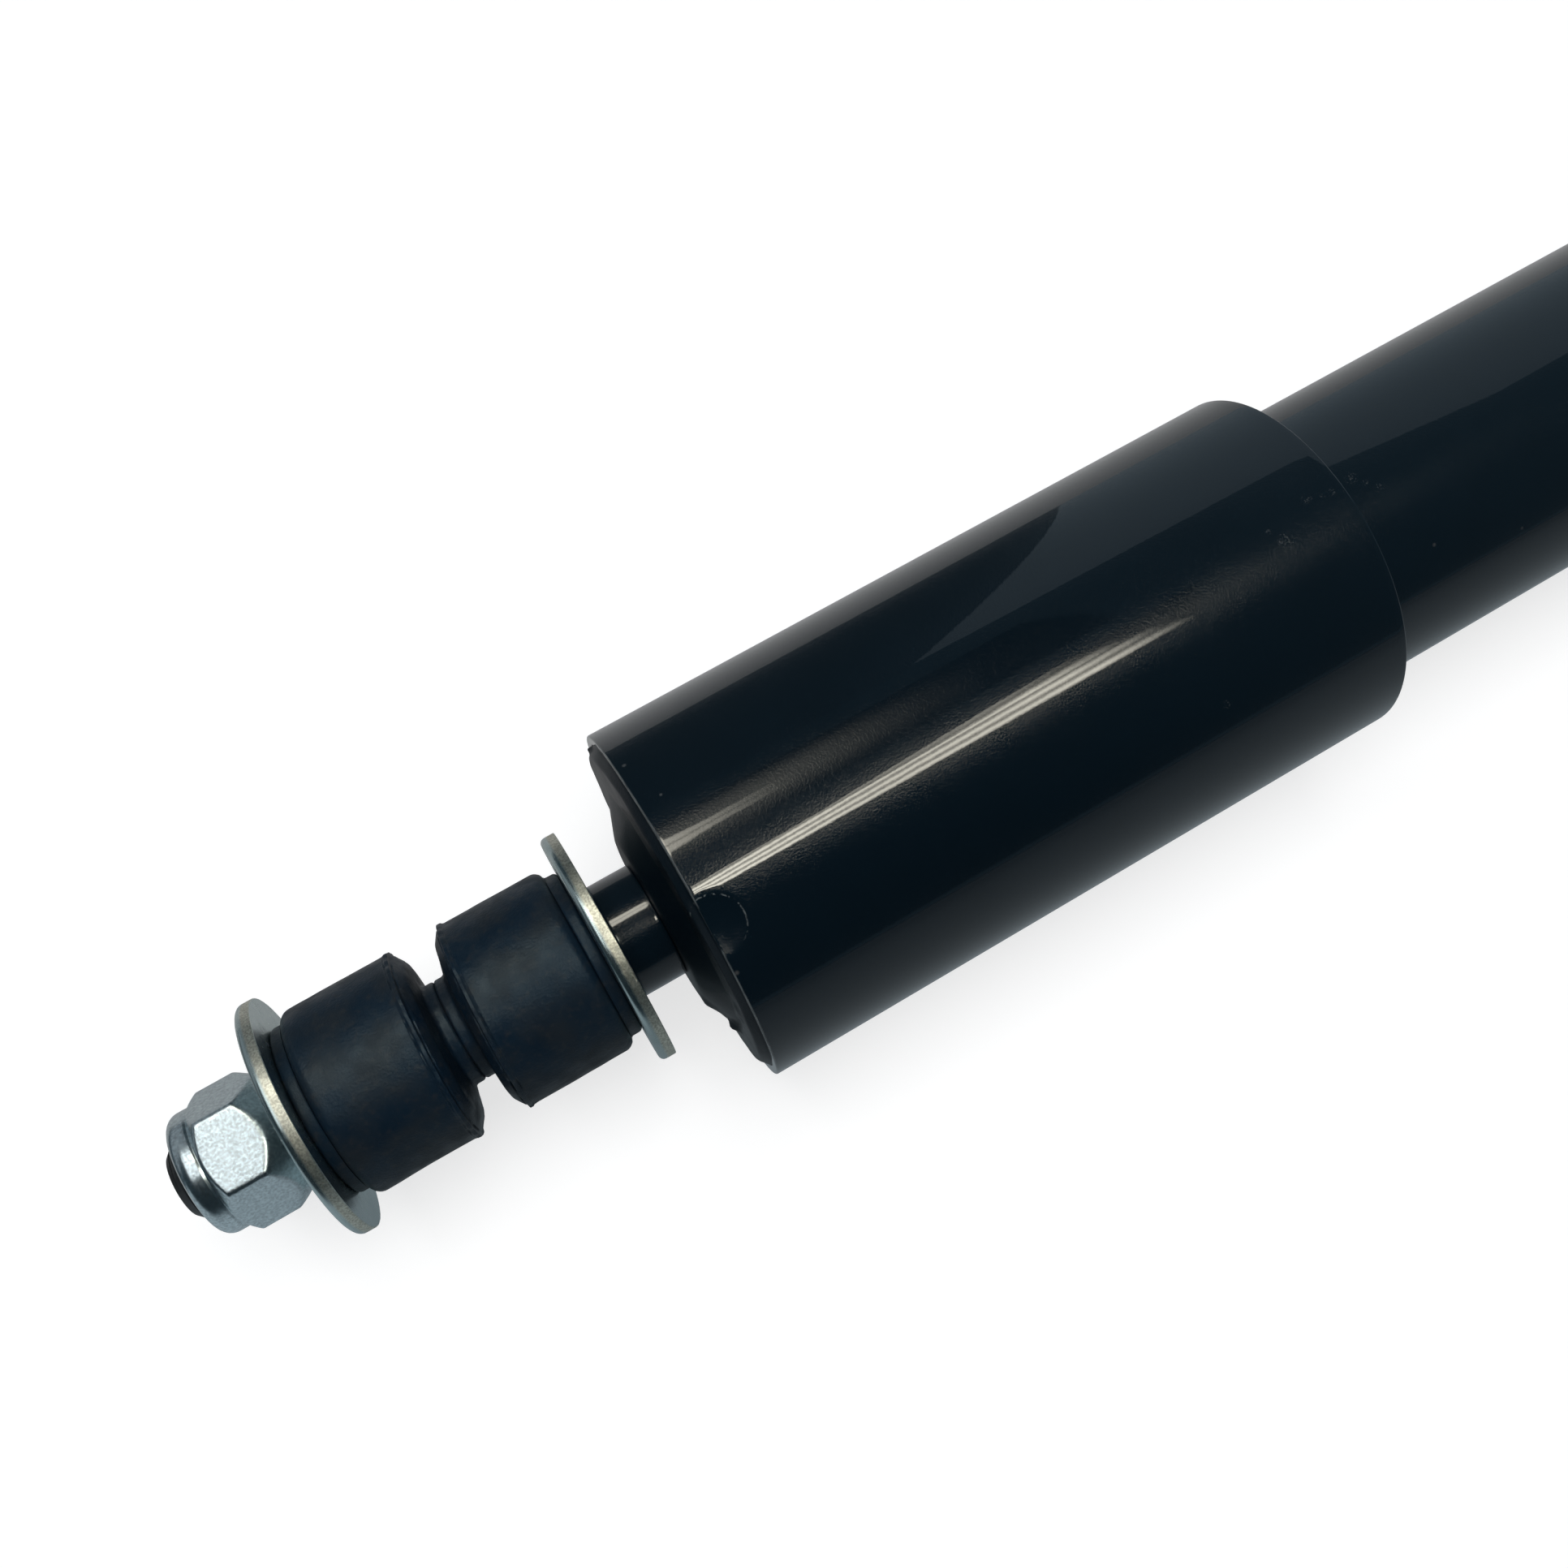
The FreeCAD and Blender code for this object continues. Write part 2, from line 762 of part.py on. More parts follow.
def dust_cap():
    """Pressed cap that carries the cover on the rod's shoulder: boss, slope, flat ring and skirt."""
    skirt_r = cover_bore_r - seat_gap
    boss_r = collar_diameter / 2 + cap_boss_edge
    slope_r = boss_r + cap_slope_width
    slope_x = cap_top_x - cap_slope_drop
    ring_x = slope_x - cap_ring_fall
    ring_r = skirt_r - cap_ring_bevel
    bore = stem_r + seat_gap
    skirt_inner_r = skirt_r - cap_wall
    blank = turned(
        [
            (cap_top_x, bore),
            (cap_top_x, boss_r, cap_boss_round),
            (slope_x, slope_r, cap_slope_round),
            (ring_x, ring_r, cap_ring_round),
            (cover_rim_x, skirt_r, cap_rim_round),
            (cover_rim_x - cap_skirt, skirt_r),
            (cover_rim_x - cap_skirt, skirt_inner_r),
            (ring_x - cap_wall, skirt_inner_r),
            (slope_x - cap_wall, slope_r, cap_slope_round + cap_wall),
            (cap_seat_x, boss_r, cap_boss_round - cap_wall),
            (cap_seat_x, bore),
        ]
    )
    return blank.cut(dent_balls(dent_ball + cover_wall + seat_gap))


# Stem stack


def stem_collar():
    collar_r = collar_diameter / 2
    bore = stem_r + seat_gap
    return turned(
        [
            (cap_top_x, bore),
            (cap_top_x, collar_r),
            (collar_top_x - collar_chamfer, collar_r),
            (collar_top_x, collar_r - collar_chamfer),
            (collar_top_x, bore),
        ]
    )


def stem_washer(start_x):
    """Large plain washer with the rounded edge of a stamping."""
    end_x = start_x + washer_thickness
    outer = washer_diameter / 2
    return turned(
        [
            (start_x, washer_bore / 2),
            (start_x, outer, washer_round),
            (end_x, outer, washer_round),
            (end_x, washer_bore / 2),
        ]
    )


def stem_bush(washer_face_x, direction):
    """Rubber bush: a lip at the washer, a full body, and a hollow cone down to the bracket's neck."""
    body_r = bush_diameter / 2
    lip_r = body_r - bush_lip_step
    neck_r = bush_neck_diameter / 2
    bore = stem_r + bush_stem_gap
    body_start = bush_lip_width
    body_end = body_start + bush_body_length
    cone_end = body_end + bush_cone_length
    profile = [
        (0, bore),
        (0, lip_r, bush_lip_round),
        (body_start, lip_r),
        (body_start, body_r, bush_shoulder_round),
        (body_end - bush_flash_width, body_r),
        (body_end - bush_flash_width, body_r + bush_flash),
        (body_end, body_r + bush_flash),
        (body_end, body_r),
        (cone_end, neck_r),
        (bush_length, neck_r),
        (bush_length, bore),
    ]
    placed = []
    for corner in profile:
        placed.append((washer_face_x + direction * corner[0],) + corner[1:])
    return turned(placed)


def lock_nut():
    """Hexagon nut with long chamfers at both ends and a round collar rolled over its insert."""
    corner_r = nut_flats / 2 / math.cos(math.radians(30))
    face_r = nut_flats / 2 - nut_face_inset
    collar_r = nut_flats / 2 - nut_collar_inset
    face_chamfer_x = nut_x + (corner_r - face_r) / math.tan(math.radians(nut_face_slope))
    shoulder_x = nut_hex_top_x - (corner_r - collar_r) / math.tan(math.radians(nut_shoulder_slope))
    envelope = turned(
        [
            (nut_x, 0),
            (nut_x, face_r),
            (face_chamfer_x, corner_r),
            (shoulder_x, corner_r),
            (nut_hex_top_x, collar_r),
            (nut_hex_top_x, 0),
        ]
    )
    grip = hexagon(nut_x, nut_hex_top_x, nut_flats).common(envelope)
    collar = turned(
        [
            (shoulder_x, 0),
            (shoulder_x, collar_r),
            (nut_top_x, collar_r, nut_collar_round),
            (nut_top_x, 0),
        ]
    )
    insert_r = stem_r + insert_wall
    pocket = disc(insert_x, insert_top_x, insert_r)
    mouth = disc(insert_top_x, nut_top_x, insert_r - insert_lip_cover)
    bore = disc(nut_x, insert_x, stem_r + seat_gap)
    nut = grip.fuse(collar).cut([pocket, mouth, bore]).removeSplitter()
    nut.rotate(ORIGIN, X_AXIS, -nut_turn)
    return nut


def nut_insert():
    return ring(insert_x, insert_top_x, stem_r + seat_gap, stem_r + insert_wall - seat_gap)


pieces = {
    "eye_sleeve": eye_sleeve(),
    "eye_bush": eye_bush(),
    "eye_ring": eye_ring(),
    "base_cup": base_cup(),
    "reservoir_tube": reservoir_tube(),
    "base_valve_body": base_valve_body(),
    "base_intake_plate": base_intake_plate(),
    "base_intake_spring": base_intake_spring(),
    "base_valve_rivet": base_valve_rivet(),
    "compression_shims": compression_shims(),
    "pressure_tube": pressure_tube(),
    "rod_guide": rod_guide(),
    "guide_bush": guide_bush(),
    "rod_seal": rod_seal(),
    "seal_garter_spring": seal_garter_spring(),
    "seal_cap": seal_cap(),
    "piston_rod": piston_rod(),
    "piston": piston(),
    "piston_band": piston_band(),
    "piston_check_plate": piston_check_plate(),
    "piston_check_spring": piston_check_spring(),
    "piston_check_stop": piston_check_stop(),
    "rebound_valve_plate": rebound_valve_plate(),
    "rebound_valve_spring": rebound_valve_spring(),
    "piston_nut": piston_nut(),
    "rebound_stop_ring": rebound_stop_ring(),
    "rebound_bumper": rebound_bumper(),
    "dust_cover": dust_cover(),
    "dust_cap": dust_cap(),
    "stem_collar": stem_collar(),
    "inner_washer": stem_washer(collar_top_x),
    "inner_bush": stem_bush(inner_bush_x, 1),
    "outer_bush": stem_bush(outer_washer_x, -1),
    "outer_washer": stem_washer(outer_washer_x),
    "lock_nut": lock_nut(),
    "nut_insert": nut_insert(),
}

os.makedirs("parts", exist_ok=True)
for node, shape in pieces.items():
    shape.exportStep(f"parts/{node}.step")
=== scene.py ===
"""Looks of the shock absorber: worn and moulded detail, finishes, studio light and camera. Metres."""

import json
import math

import bpy
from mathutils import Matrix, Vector, noise

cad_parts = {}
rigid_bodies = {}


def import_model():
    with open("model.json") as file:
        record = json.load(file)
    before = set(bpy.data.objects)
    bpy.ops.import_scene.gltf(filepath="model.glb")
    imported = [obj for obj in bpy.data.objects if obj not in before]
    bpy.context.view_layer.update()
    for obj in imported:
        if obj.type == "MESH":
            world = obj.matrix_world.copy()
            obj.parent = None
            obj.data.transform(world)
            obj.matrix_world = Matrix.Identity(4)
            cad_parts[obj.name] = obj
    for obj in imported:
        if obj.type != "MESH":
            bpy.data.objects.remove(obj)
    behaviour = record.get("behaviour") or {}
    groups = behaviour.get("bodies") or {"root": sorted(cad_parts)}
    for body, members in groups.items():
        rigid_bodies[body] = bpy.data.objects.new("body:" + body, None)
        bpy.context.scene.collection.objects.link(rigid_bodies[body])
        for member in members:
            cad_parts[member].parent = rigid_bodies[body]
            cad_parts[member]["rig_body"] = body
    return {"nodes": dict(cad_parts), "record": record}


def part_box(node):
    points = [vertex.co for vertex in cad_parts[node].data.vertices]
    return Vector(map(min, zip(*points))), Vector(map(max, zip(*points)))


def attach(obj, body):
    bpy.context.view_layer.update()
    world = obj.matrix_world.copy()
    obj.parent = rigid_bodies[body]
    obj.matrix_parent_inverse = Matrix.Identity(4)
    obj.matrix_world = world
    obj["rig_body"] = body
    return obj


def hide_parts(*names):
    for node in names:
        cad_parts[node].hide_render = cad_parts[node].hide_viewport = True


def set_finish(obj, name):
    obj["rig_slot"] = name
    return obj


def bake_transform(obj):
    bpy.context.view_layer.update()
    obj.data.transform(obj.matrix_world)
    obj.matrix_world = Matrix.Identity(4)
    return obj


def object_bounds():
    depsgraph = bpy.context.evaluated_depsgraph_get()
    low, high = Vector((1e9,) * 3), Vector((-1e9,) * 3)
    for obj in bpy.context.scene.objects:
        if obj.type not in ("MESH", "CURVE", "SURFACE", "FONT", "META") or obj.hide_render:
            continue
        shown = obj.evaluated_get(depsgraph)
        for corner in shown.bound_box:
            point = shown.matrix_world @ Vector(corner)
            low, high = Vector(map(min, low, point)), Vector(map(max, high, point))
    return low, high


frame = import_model()
cad_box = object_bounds()

MM = 0.001
FULL_TURN = 2 * math.pi

# Meshes: step round an arc, bend from which an edge shows sharp, and limits for rounding errors
ARC_STEP = math.radians(12)
SMOOTH_ANGLE = math.radians(32)
NEARLY_STRAIGHT = math.radians(89)
COUNT_SLACK = 1e-6
ON_AXIS = 1e-7

# The cover: its rim's place and radius, sheet thickness and edge
RIM_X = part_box("dust_cover")[1].x
COVER_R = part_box("dust_cover")[1].z
COVER_WALL = 1.5 * MM
COVER_EDGE = 0.3 * MM

# Crimps at the cover's rim: count, turn from the top, radius, depth, distance from the rim,
# softness of the shoulder, and the reach beyond which nothing is pressed in
DENT_COUNT = 3
DENT_TURN = math.radians(23.3)
DENT_RADIUS = 4.4 * MM
DENT_DEPTH = 0.85 * MM
DENT_SETBACK = 0.8 * MM
DENT_SHOULDER = 0.09 * MM
DENT_REACH = 2 * DENT_RADIUS

# Width of the torn part of a washer's edge
TORN_WIDTH = 1.4 * MM

# The nut's hexagon, measured from the washer
HEX_LENGTH = 12.3 * MM


# Outlines

def rounded(corners):
    """Points of the closed outline through (x, radius, round) corners, each rounded by an arc."""
    points = []
    for index, (x, radius, size) in enumerate(corners):
        corner = Vector((x, radius))
        before = (Vector(corners[index - 1][:2]) - corner).normalized()
        after = (Vector(corners[(index + 1) % len(corners)][:2]) - corner).normalized()
        half_angle = before.angle(after) / 2
        if size <= 0 or half_angle > NEARLY_STRAIGHT:
            points.append((x, radius))
            continue
        centre = corner + (before + after).normalized() * (size / math.sin(half_angle))
        reach = size / math.tan(half_angle)
        start = corner + before * reach - centre
        turn = start.angle_signed(corner + after * reach - centre)
        steps = max(2, math.ceil(abs(turn) / ARC_STEP))
        for step in range(steps + 1):
            angle = -turn * step / steps
            spoke = Vector((
                start.x * math.cos(angle) - start.y * math.sin(angle),
                start.x * math.sin(angle) + start.y * math.cos(angle),
            ))
            points.append(tuple(centre + spoke))
    return points


def between(start, end, step):
    """Points from start up to but without end, no further apart than step."""
    count = max(1, math.ceil(math.dist(start, end) / step - COUNT_SLACK))
    if start[1] < ON_AXIS and end[1] < ON_AXIS:
        count = 1
    return [tuple(a + (b - a) * part / count for a, b in zip(start, end)) for part in range(count)]


def filled(outline, step_at):
    """The closed outline with points added; step_at gives the largest step between two neighbours."""
    points = []
    for start, end in zip(outline, outline[1:] + outline[:1]):
        points += between(start, end, step_at(start, end))
    return points


def evenly_filled(outline, step):
    return filled(outline, lambda start, end: step)


def signed_area(outline):
    """Area inside a closed outline, negative where it runs clockwise."""
    total = 0.0
    for (x, radius), (next_x, next_radius) in zip(outline, outline[1:] + outline[:1]):
        total += x * next_radius - next_x * radius
    return total / 2


# Meshes

def even_angles(count):
    return [FULL_TURN * step / count for step in range(count)]


def placed(name, data):
    """A new object in the scene."""
    made = bpy.data.objects.new(name, data)
    bpy.context.scene.collection.objects.link(made)
    return made


def lathe(name, outline, angles, shape):
    """A mesh turned about X, its angles from +Z towards +Y; shape moves each (x, radius, angle)."""
    if signed_area(outline) > 0:
        outline = outline[::-1]
    vertices = []
    rings = []
    for x, radius in outline:
        if radius < ON_AXIS:
            rings.append([len(vertices)] * len(angles))
            vertices.append((x, 0.0, 0.0))
            continue
        rings.append(list(range(len(vertices), len(vertices) + len(angles))))
        for angle in angles:
            new_x, new_radius = shape(x, radius, angle)
            vertices.append((new_x, new_radius * math.sin(angle), new_radius * math.cos(angle)))
    faces = []
    for first, second in zip(rings, rings[1:] + rings[:1]):
        for step in range(len(angles)):
            after = (step + 1) % len(angles)
            face = (first[step], second[step], second[after], first[after])
            corners = tuple(dict.fromkeys(face))
            if len(corners) > 2:
                faces.append(corners)
    mesh = bpy.data.meshes.new(name)
    mesh.from_pydata(vertices, [], faces)
    mesh.shade_smooth()
    mesh.set_sharp_from_angle(angle=SMOOTH_ANGLE)
    return placed(name, mesh)


def stand_for(piece, node, slot):
    """Shows the piece in place of a CAD node, riding on that node's body, and returns it."""
    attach(piece, frame["nodes"][node]["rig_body"])
    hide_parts(node)
    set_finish(piece, slot)
    return piece


def rise(value, low, high):
    """0 at low, 1 at high, straight between them and level beyond."""
    return min(1.0, max(0.0, (value - low) / (high - low)))


def lumps(x, radius, angle, *layers):
    """Smooth noise on a surface: the sum of layers, each a size and a height."""
    place = Vector((x, radius * math.sin(angle), radius * math.cos(angle)))
    return sum(noise.noise(place / size) * height for size, height in layers)


# Pieces

def dent_angles():
    return [DENT_TURN + angle for angle in even_angles(DENT_COUNT)]


def dent_depth(x, angle):
    """How far the cover is pressed in at a place, falling softly to nothing round each crimp."""
    along = x - RIM_X + DENT_SETBACK
    depth = 0.0
    for centre in dent_angles():
        off = math.remainder(angle - centre, FULL_TURN)
        if COVER_R * abs(off) > DENT_REACH or abs(along) > DENT_REACH:
            continue
        across = COVER_R * math.sin(off)
        fall = DENT_DEPTH * (1 - (along * along + across * across) / DENT_RADIUS ** 2)
        depth += DENT_SHOULDER * math.log1p(math.exp(fall / DENT_SHOULDER))
    return depth


def cover_angles():
    """Angles round the cover, close together at the crimps."""
    fine = math.radians(0.45)
    coarse = math.radians(2.25)
    half_width = math.radians(13)
    fine_count = round(2 * half_width / fine)
    gap = FULL_TURN / DENT_COUNT - 2 * half_width
    coarse_count = round(gap / coarse)
    angles = []
    for centre in dent_angles():
        angles += [centre - half_width + fine * step for step in range(fine_count)]
        angles += [centre + half_width + gap * step / coarse_count for step in range(coarse_count)]
    return angles


def dust_cover():
    """The cover's tube, crimped in at the rim, with a finer mesh there."""
    open_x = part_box("dust_cover")[0].x
    inner_r = COVER_R - COVER_WALL
    crimped_x = RIM_X - 9 * MM
    fine = 0.25 * MM
    coarse = 1.0 * MM
    plain = rounded([
        (open_x, inner_r, 0.3 * MM),
        (open_x, COVER_R, COVER_EDGE),
        (crimped_x, COVER_R, 0.0),
        (RIM_X, COVER_R, COVER_EDGE),
        (RIM_X, inner_r, 0.2 * MM),
        (crimped_x, inner_r, 0.0),
    ])

    def step_at(start, end):
        crimped = min(start[0], end[0]) > crimped_x - 0.1 * MM
        return fine if crimped else coarse

    def shape(x, radius, angle):
        return x, radius - dent_depth(x, angle)

    outline = filled(evenly_filled(plain, coarse), step_at)
    piece = lathe("cover_shell", outline, cover_angles(), shape)
    return stand_for(piece, "dust_cover", "black_paint")


def dust_cap():
    """The pressed cap: boss, slope, flat ring and a skirt that follows the crimps."""
    low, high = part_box("dust_cap")
    bore = 6.05 * MM
    boss_r = 13.2 * MM
    slope_r = 19.6 * MM
    skirt_r = high.z
    wall = 2.0 * MM
    slope_x = high.x - 2.5 * MM
    ring_x = slope_x - 0.2 * MM
    outline = evenly_filled(rounded([
        (high.x, bore, 0.2 * MM),
        (high.x, boss_r, 4.0 * MM),
        (slope_x, slope_r, 0.4 * MM),
        (ring_x, skirt_r - 1.4 * MM, 1.0 * MM),
        (RIM_X, skirt_r, 1.0 * MM),
        (low.x, skirt_r, 0.4 * MM),
        (low.x, skirt_r - wall, 0.4 * MM),
        (ring_x - wall, skirt_r - wall, 0.5 * MM),
        (slope_x - wall, slope_r, 2.0 * MM),
        (high.x - wall, boss_r, 2.0 * MM),
        (high.x - wall, bore, 0.2 * MM),
    ]), step=0.5 * MM)
    # Drops of paint: distance from the axis, turn from the top, height and width
    drops = [
        (19.4 * MM, math.radians(99), 1.0 * MM, 1.0 * MM),
        (14.4 * MM, math.radians(101), 0.5 * MM, 1.6 * MM),
        (26.9 * MM, math.radians(-70), 0.8 * MM, 0.7 * MM),
        (22.5 * MM, math.radians(60), 0.3 * MM, 1.5 * MM),
    ]

    def shape(x, radius, angle):
        if x < RIM_X:
            return x, radius - dent_depth(x, angle)
        raised = lumps(x, radius, angle, (11 * MM, 0.22 * MM), (4 * MM, 0.05 * MM)) - 0.1 * MM
        for drop_r, turn, height, width in drops:
            if math.cos(angle - turn) > 0:
                sideways = radius * math.sin(angle - turn)
                apart = math.hypot(sideways, radius - drop_r) / width
                raised += height * math.exp(-apart ** 2)
        raised *= rise(radius, 10 * MM, 14 * MM)
        return min(x + raised, high.x), radius

    piece = lathe("cover_cap", outline, even_angles(256), shape)
    return stand_for(piece, "dust_cap", "black_paint")


def stem_collar():
    """The spacer, very slightly wavy under its paint."""
    low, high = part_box("stem_collar")
    outer_r = high.z
    bore = 6.1 * MM
    waviness = 0.012 * MM
    outline = evenly_filled(rounded([
        (low.x, bore, 0.2 * MM),
        (low.x, outer_r, 0.25 * MM),
        (high.x, outer_r, 0.5 * MM),
        (high.x, bore, 0.2 * MM),
    ]), step=0.6 * MM)

    def shape(x, radius, angle):
        return x, radius + lumps(x, radius, angle, (2.5 * MM, waviness)) - waviness

    piece = lathe("stem_spacer", outline, even_angles(160), shape)
    return stand_for(piece, "stem_collar", "black_paint")


def washer(name, node):
    """A stamped washer: rolled over where the punch went in, torn and burred where it came out."""
    low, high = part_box(node)
    outer_r = high.z
    bore = 6.5 * MM
    torn_end = low.x + TORN_WIDTH
    least_torn = 0.2
    inset = 0.065 * MM
    outline = evenly_filled(rounded([
        (low.x, bore, 0.3 * MM),
        (low.x, outer_r, 0.15 * MM),
        (high.x, outer_r, 0.9 * MM),
        (high.x, bore, 0.3 * MM),
    ]), step=0.35 * MM)

    def shape(x, radius, angle):
        if radius < outer_r - 1.2 * MM:
            return x, radius
        torn = lumps(x * 0.3, radius, angle, (1.3 * MM, 0.045 * MM))
        torn += lumps(x, radius, angle, (0.5 * MM, 0.02 * MM))
        share = max(least_torn, rise(x, torn_end, torn_end - 0.4 * MM))
        return x, radius + torn * share - inset

    piece = lathe(name, outline, even_angles(320), shape)
    return stand_for(piece, node, "zinc")


def stem_bush(name, node, washer_side):
    """A moulded bush: a lip at the washer, a flash line, and a domed end, a little askew, with a neck."""
    low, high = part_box(node)
    start = high.x if washer_side > 0 else low.x
    askew = 0.4 * MM
    # In mm: radii, the length, and corners as distance from the washer, radius and round
    bore, neck_r, lip_r, body_r, flash_r = 6.1, 8.0, 13.25, 14.75, 15.1
    length = 22.9
    corners = [
        (0.0, bore, 0.4),
        (0.0, lip_r, 0.7),
        (2.0, lip_r, 0.35),
        (2.0, body_r, 1.6),
        (18.0, body_r, 0.3),
        (18.5, flash_r, 0.15),
        (19.0, flash_r, 0.15),
        (19.1, body_r - 0.25, 0.2),
        (20.4, 12.5, 1.5),
        (21.1, neck_r, 0.7),
        (length, neck_r, 0.5),
        (length, bore, 0.4),
    ]
    outline = evenly_filled(rounded([
        (start - washer_side * x * MM, radius * MM, size * MM) for x, radius, size in corners
    ]), step=0.45 * MM)

    def swell(x, radius, angle, along):
        """How far the surface bulges, in the parts of the bush one after the other."""
        if radius > (body_r - 0.5) * MM:
            body = lumps(x, radius, angle, (9 * MM, 0.1 * MM), (2.2 * MM, 0.03 * MM)) - 0.1 * MM
            if along <= 18.1 * MM:
                return body
            return body + lumps(x * 0.2, radius, angle, (1.9 * MM, 0.3 * MM)) - 0.15 * MM
        if radius > (neck_r + 0.5) * MM and along > 18 * MM:
            return lumps(x, radius, angle, (2.4 * MM, 0.18 * MM))
        if radius > (neck_r - 0.5) * MM and along > 19 * MM:
            return lumps(x, radius, angle, (1.2 * MM, 0.08 * MM))
        if radius > 12 * MM:
            return lumps(x, radius, angle, (3 * MM, 0.08 * MM)) - 0.05 * MM
        return 0.0

    def shape(x, radius, angle):
        along = abs(x - start)
        tilted = rise(along, 12 * MM, 17 * MM) * rise(radius, 8.5 * MM, 11.5 * MM)
        return x + tilted * askew * math.sin(angle), radius + swell(x, radius, angle, along)

    piece = lathe(name, outline, even_angles(256), shape)
    return stand_for(piece, node, "rubber")


def lock_nut():
    """A hexagon nut with long chamfers at both ends and a rolled collar over its insert."""
    low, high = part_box("lock_nut")
    hex_top = low.x + HEX_LENGTH
    half_flats = 9.5 * MM
    corner_r = half_flats / math.cos(math.radians(30))
    face_r = 7.2 * MM
    face_slope = 0.70
    face_rise = (corner_r - face_r) / face_slope
    collar_r = 9.4 * MM
    collar_slope = 1.11
    collar_drop = (corner_r - collar_r) / collar_slope
    bore = 6.02 * MM
    face_bore = 6.5 * MM
    mouth_r = 7.0 * MM
    pocket_r = 8.2 * MM
    pocket_top = high.x - 0.7 * MM
    pocket_floor = high.x - 4.0 * MM
    flat_turn = math.radians(6)
    least_facing = 0.3
    edge_power = 70
    outline = evenly_filled(rounded([
        (low.x, face_bore, 0.3 * MM),
        (low.x, face_r, 0.15 * MM),
        (low.x + face_rise, corner_r, 0.0),
        (hex_top - collar_drop, corner_r, 0.0),
        (hex_top, collar_r, 0.0),
        (hex_top + 0.15 * MM, collar_r - 0.12 * MM, 0.1 * MM),
        (hex_top + 0.5 * MM, collar_r, 0.3 * MM),
        (high.x, collar_r, 2.0 * MM),
        (high.x, mouth_r, 0.25 * MM),
        (pocket_top, mouth_r, 0.1 * MM),
        (pocket_top, pocket_r, 0.0),
        (pocket_floor, pocket_r, 0.0),
        (pocket_floor, bore, 0.2 * MM),
        (low.x, bore, 0.4 * MM),
    ]), step=0.22 * MM)

    def shape(x, radius, angle):
        """Cuts the six flats, meeting the turned form and each other in slightly blunt edges."""
        if radius <= face_r or x > hex_top:
            return x, radius
        limits = [radius]
        for side_turn in even_angles(6):
            facing = math.cos(angle - flat_turn - side_turn)
            if facing > least_facing:
                limits.append(half_flats / facing)
        crowd = sum((1 / limit) ** edge_power for limit in limits)
        return x, crowd ** (-1 / edge_power)

    piece = lathe("collar_nut", outline, even_angles(336), shape)
    return stand_for(piece, "lock_nut", "bright_zinc")


def piston_rod():
    """The rod, with its thread cut where the nut runs."""
    low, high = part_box("piston_rod")
    stem_r = 6.0 * MM
    rod_r = 7.0 * MM
    tenon_r = 5.0 * MM
    tip_chamfer = 1.4 * MM
    shoulder_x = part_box("dust_cap")[1].x - 2.0 * MM
    tenon_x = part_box("rebound_stop_ring")[0].x
    thread_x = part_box("outer_washer")[0].x - 4 * MM
    pitch = 1.25 * MM
    depth = 0.72 * MM
    groove_share = 0.42
    fine = 0.11 * MM
    coarse = 3 * MM
    plain = rounded([
        (high.x, 0.0, 0.0),
        (high.x, stem_r - tip_chamfer, 0.5 * MM),
        (high.x - tip_chamfer, stem_r, 0.4 * MM),
        (shoulder_x, stem_r, 0.0),
        (shoulder_x, rod_r, 0.3 * MM),
        (tenon_x, rod_r, 0.3 * MM),
        (tenon_x, tenon_r, 0.0),
        (low.x, tenon_r, 0.5 * MM),
        (low.x, 0.0, 0.0),
    ])

    def step_at(start, end):
        threaded = min(start[0], end[0]) > shoulder_x and start[1] > 0
        return fine if threaded else coarse

    def shape(x, radius, angle):
        if x < thread_x or radius < stem_r - depth:
            return x, radius
        turn = (x / pitch - angle / FULL_TURN) % 1.0
        groove = max(0.0, 1.0 - abs(turn - 0.5) / groove_share)
        fade = rise(x, thread_x, thread_x + pitch)
        return x, min(radius, stem_r - depth * groove * fade)

    piece = lathe("rod", filled(plain, step_at), even_angles(128), shape)
    return stand_for(piece, "piston_rod", "chromed_rod")


def valve_spring(name, node):
    """A valve's coil, which closes up as its plate lifts; here a still copy of the CAD node's mesh."""
    piece = placed(name, frame["nodes"][node].data.copy())
    piece.data.materials.clear()
    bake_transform(piece)
    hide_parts(node)
    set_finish(piece, "spring_steel")
    return piece


# Node trees

class Nodes:
    """A node tree, with short calls for the nodes used here."""

    def __init__(self, tree):
        self.tree = tree

    def put(self, value, socket):
        """Links another node's output to a socket, or sets a plain value there."""
        if isinstance(value, bpy.types.NodeSocket):
            self.tree.links.new(value, socket)
        else:
            socket.default_value = value

    def node(self, kind, inputs=None, **settings):
        made = self.tree.nodes.new(kind)
        for name, value in settings.items():
            setattr(made, name, value)
        for key, value in (inputs or {}).items():
            self.put(value, made.inputs[key])
        return made

    def math(self, operation, *values):
        return self.node("ShaderNodeMath", dict(enumerate(values)), operation=operation).outputs[0]

    def times(self, first, *others):
        for other in others:
            first = self.math("MULTIPLY", first, other)
        return first

    def apart(self, value, middle):
        """How far a value is from a middle one."""
        return self.math("ABSOLUTE", self.math("SUBTRACT", value, middle))

    def ramp(self, value, low, high, to_low=0.0, to_high=1.0, kind="LINEAR"):
        inputs = {"Value": value, "From Min": low, "From Max": high, "To Min": to_low, "To Max": to_high}
        return self.node("ShaderNodeMapRange", inputs, interpolation_type=kind).outputs[0]

    def mix(self, share, first, second):
        inputs = {"Fac": share, "Color1": first, "Color2": second}
        return self.node("ShaderNodeMixRGB", inputs).outputs[0]


def grey(level, tint=(1.0, 1.0, 1.0)):
    return tuple(level * part for part in tint) + (1.0,)


# Materials

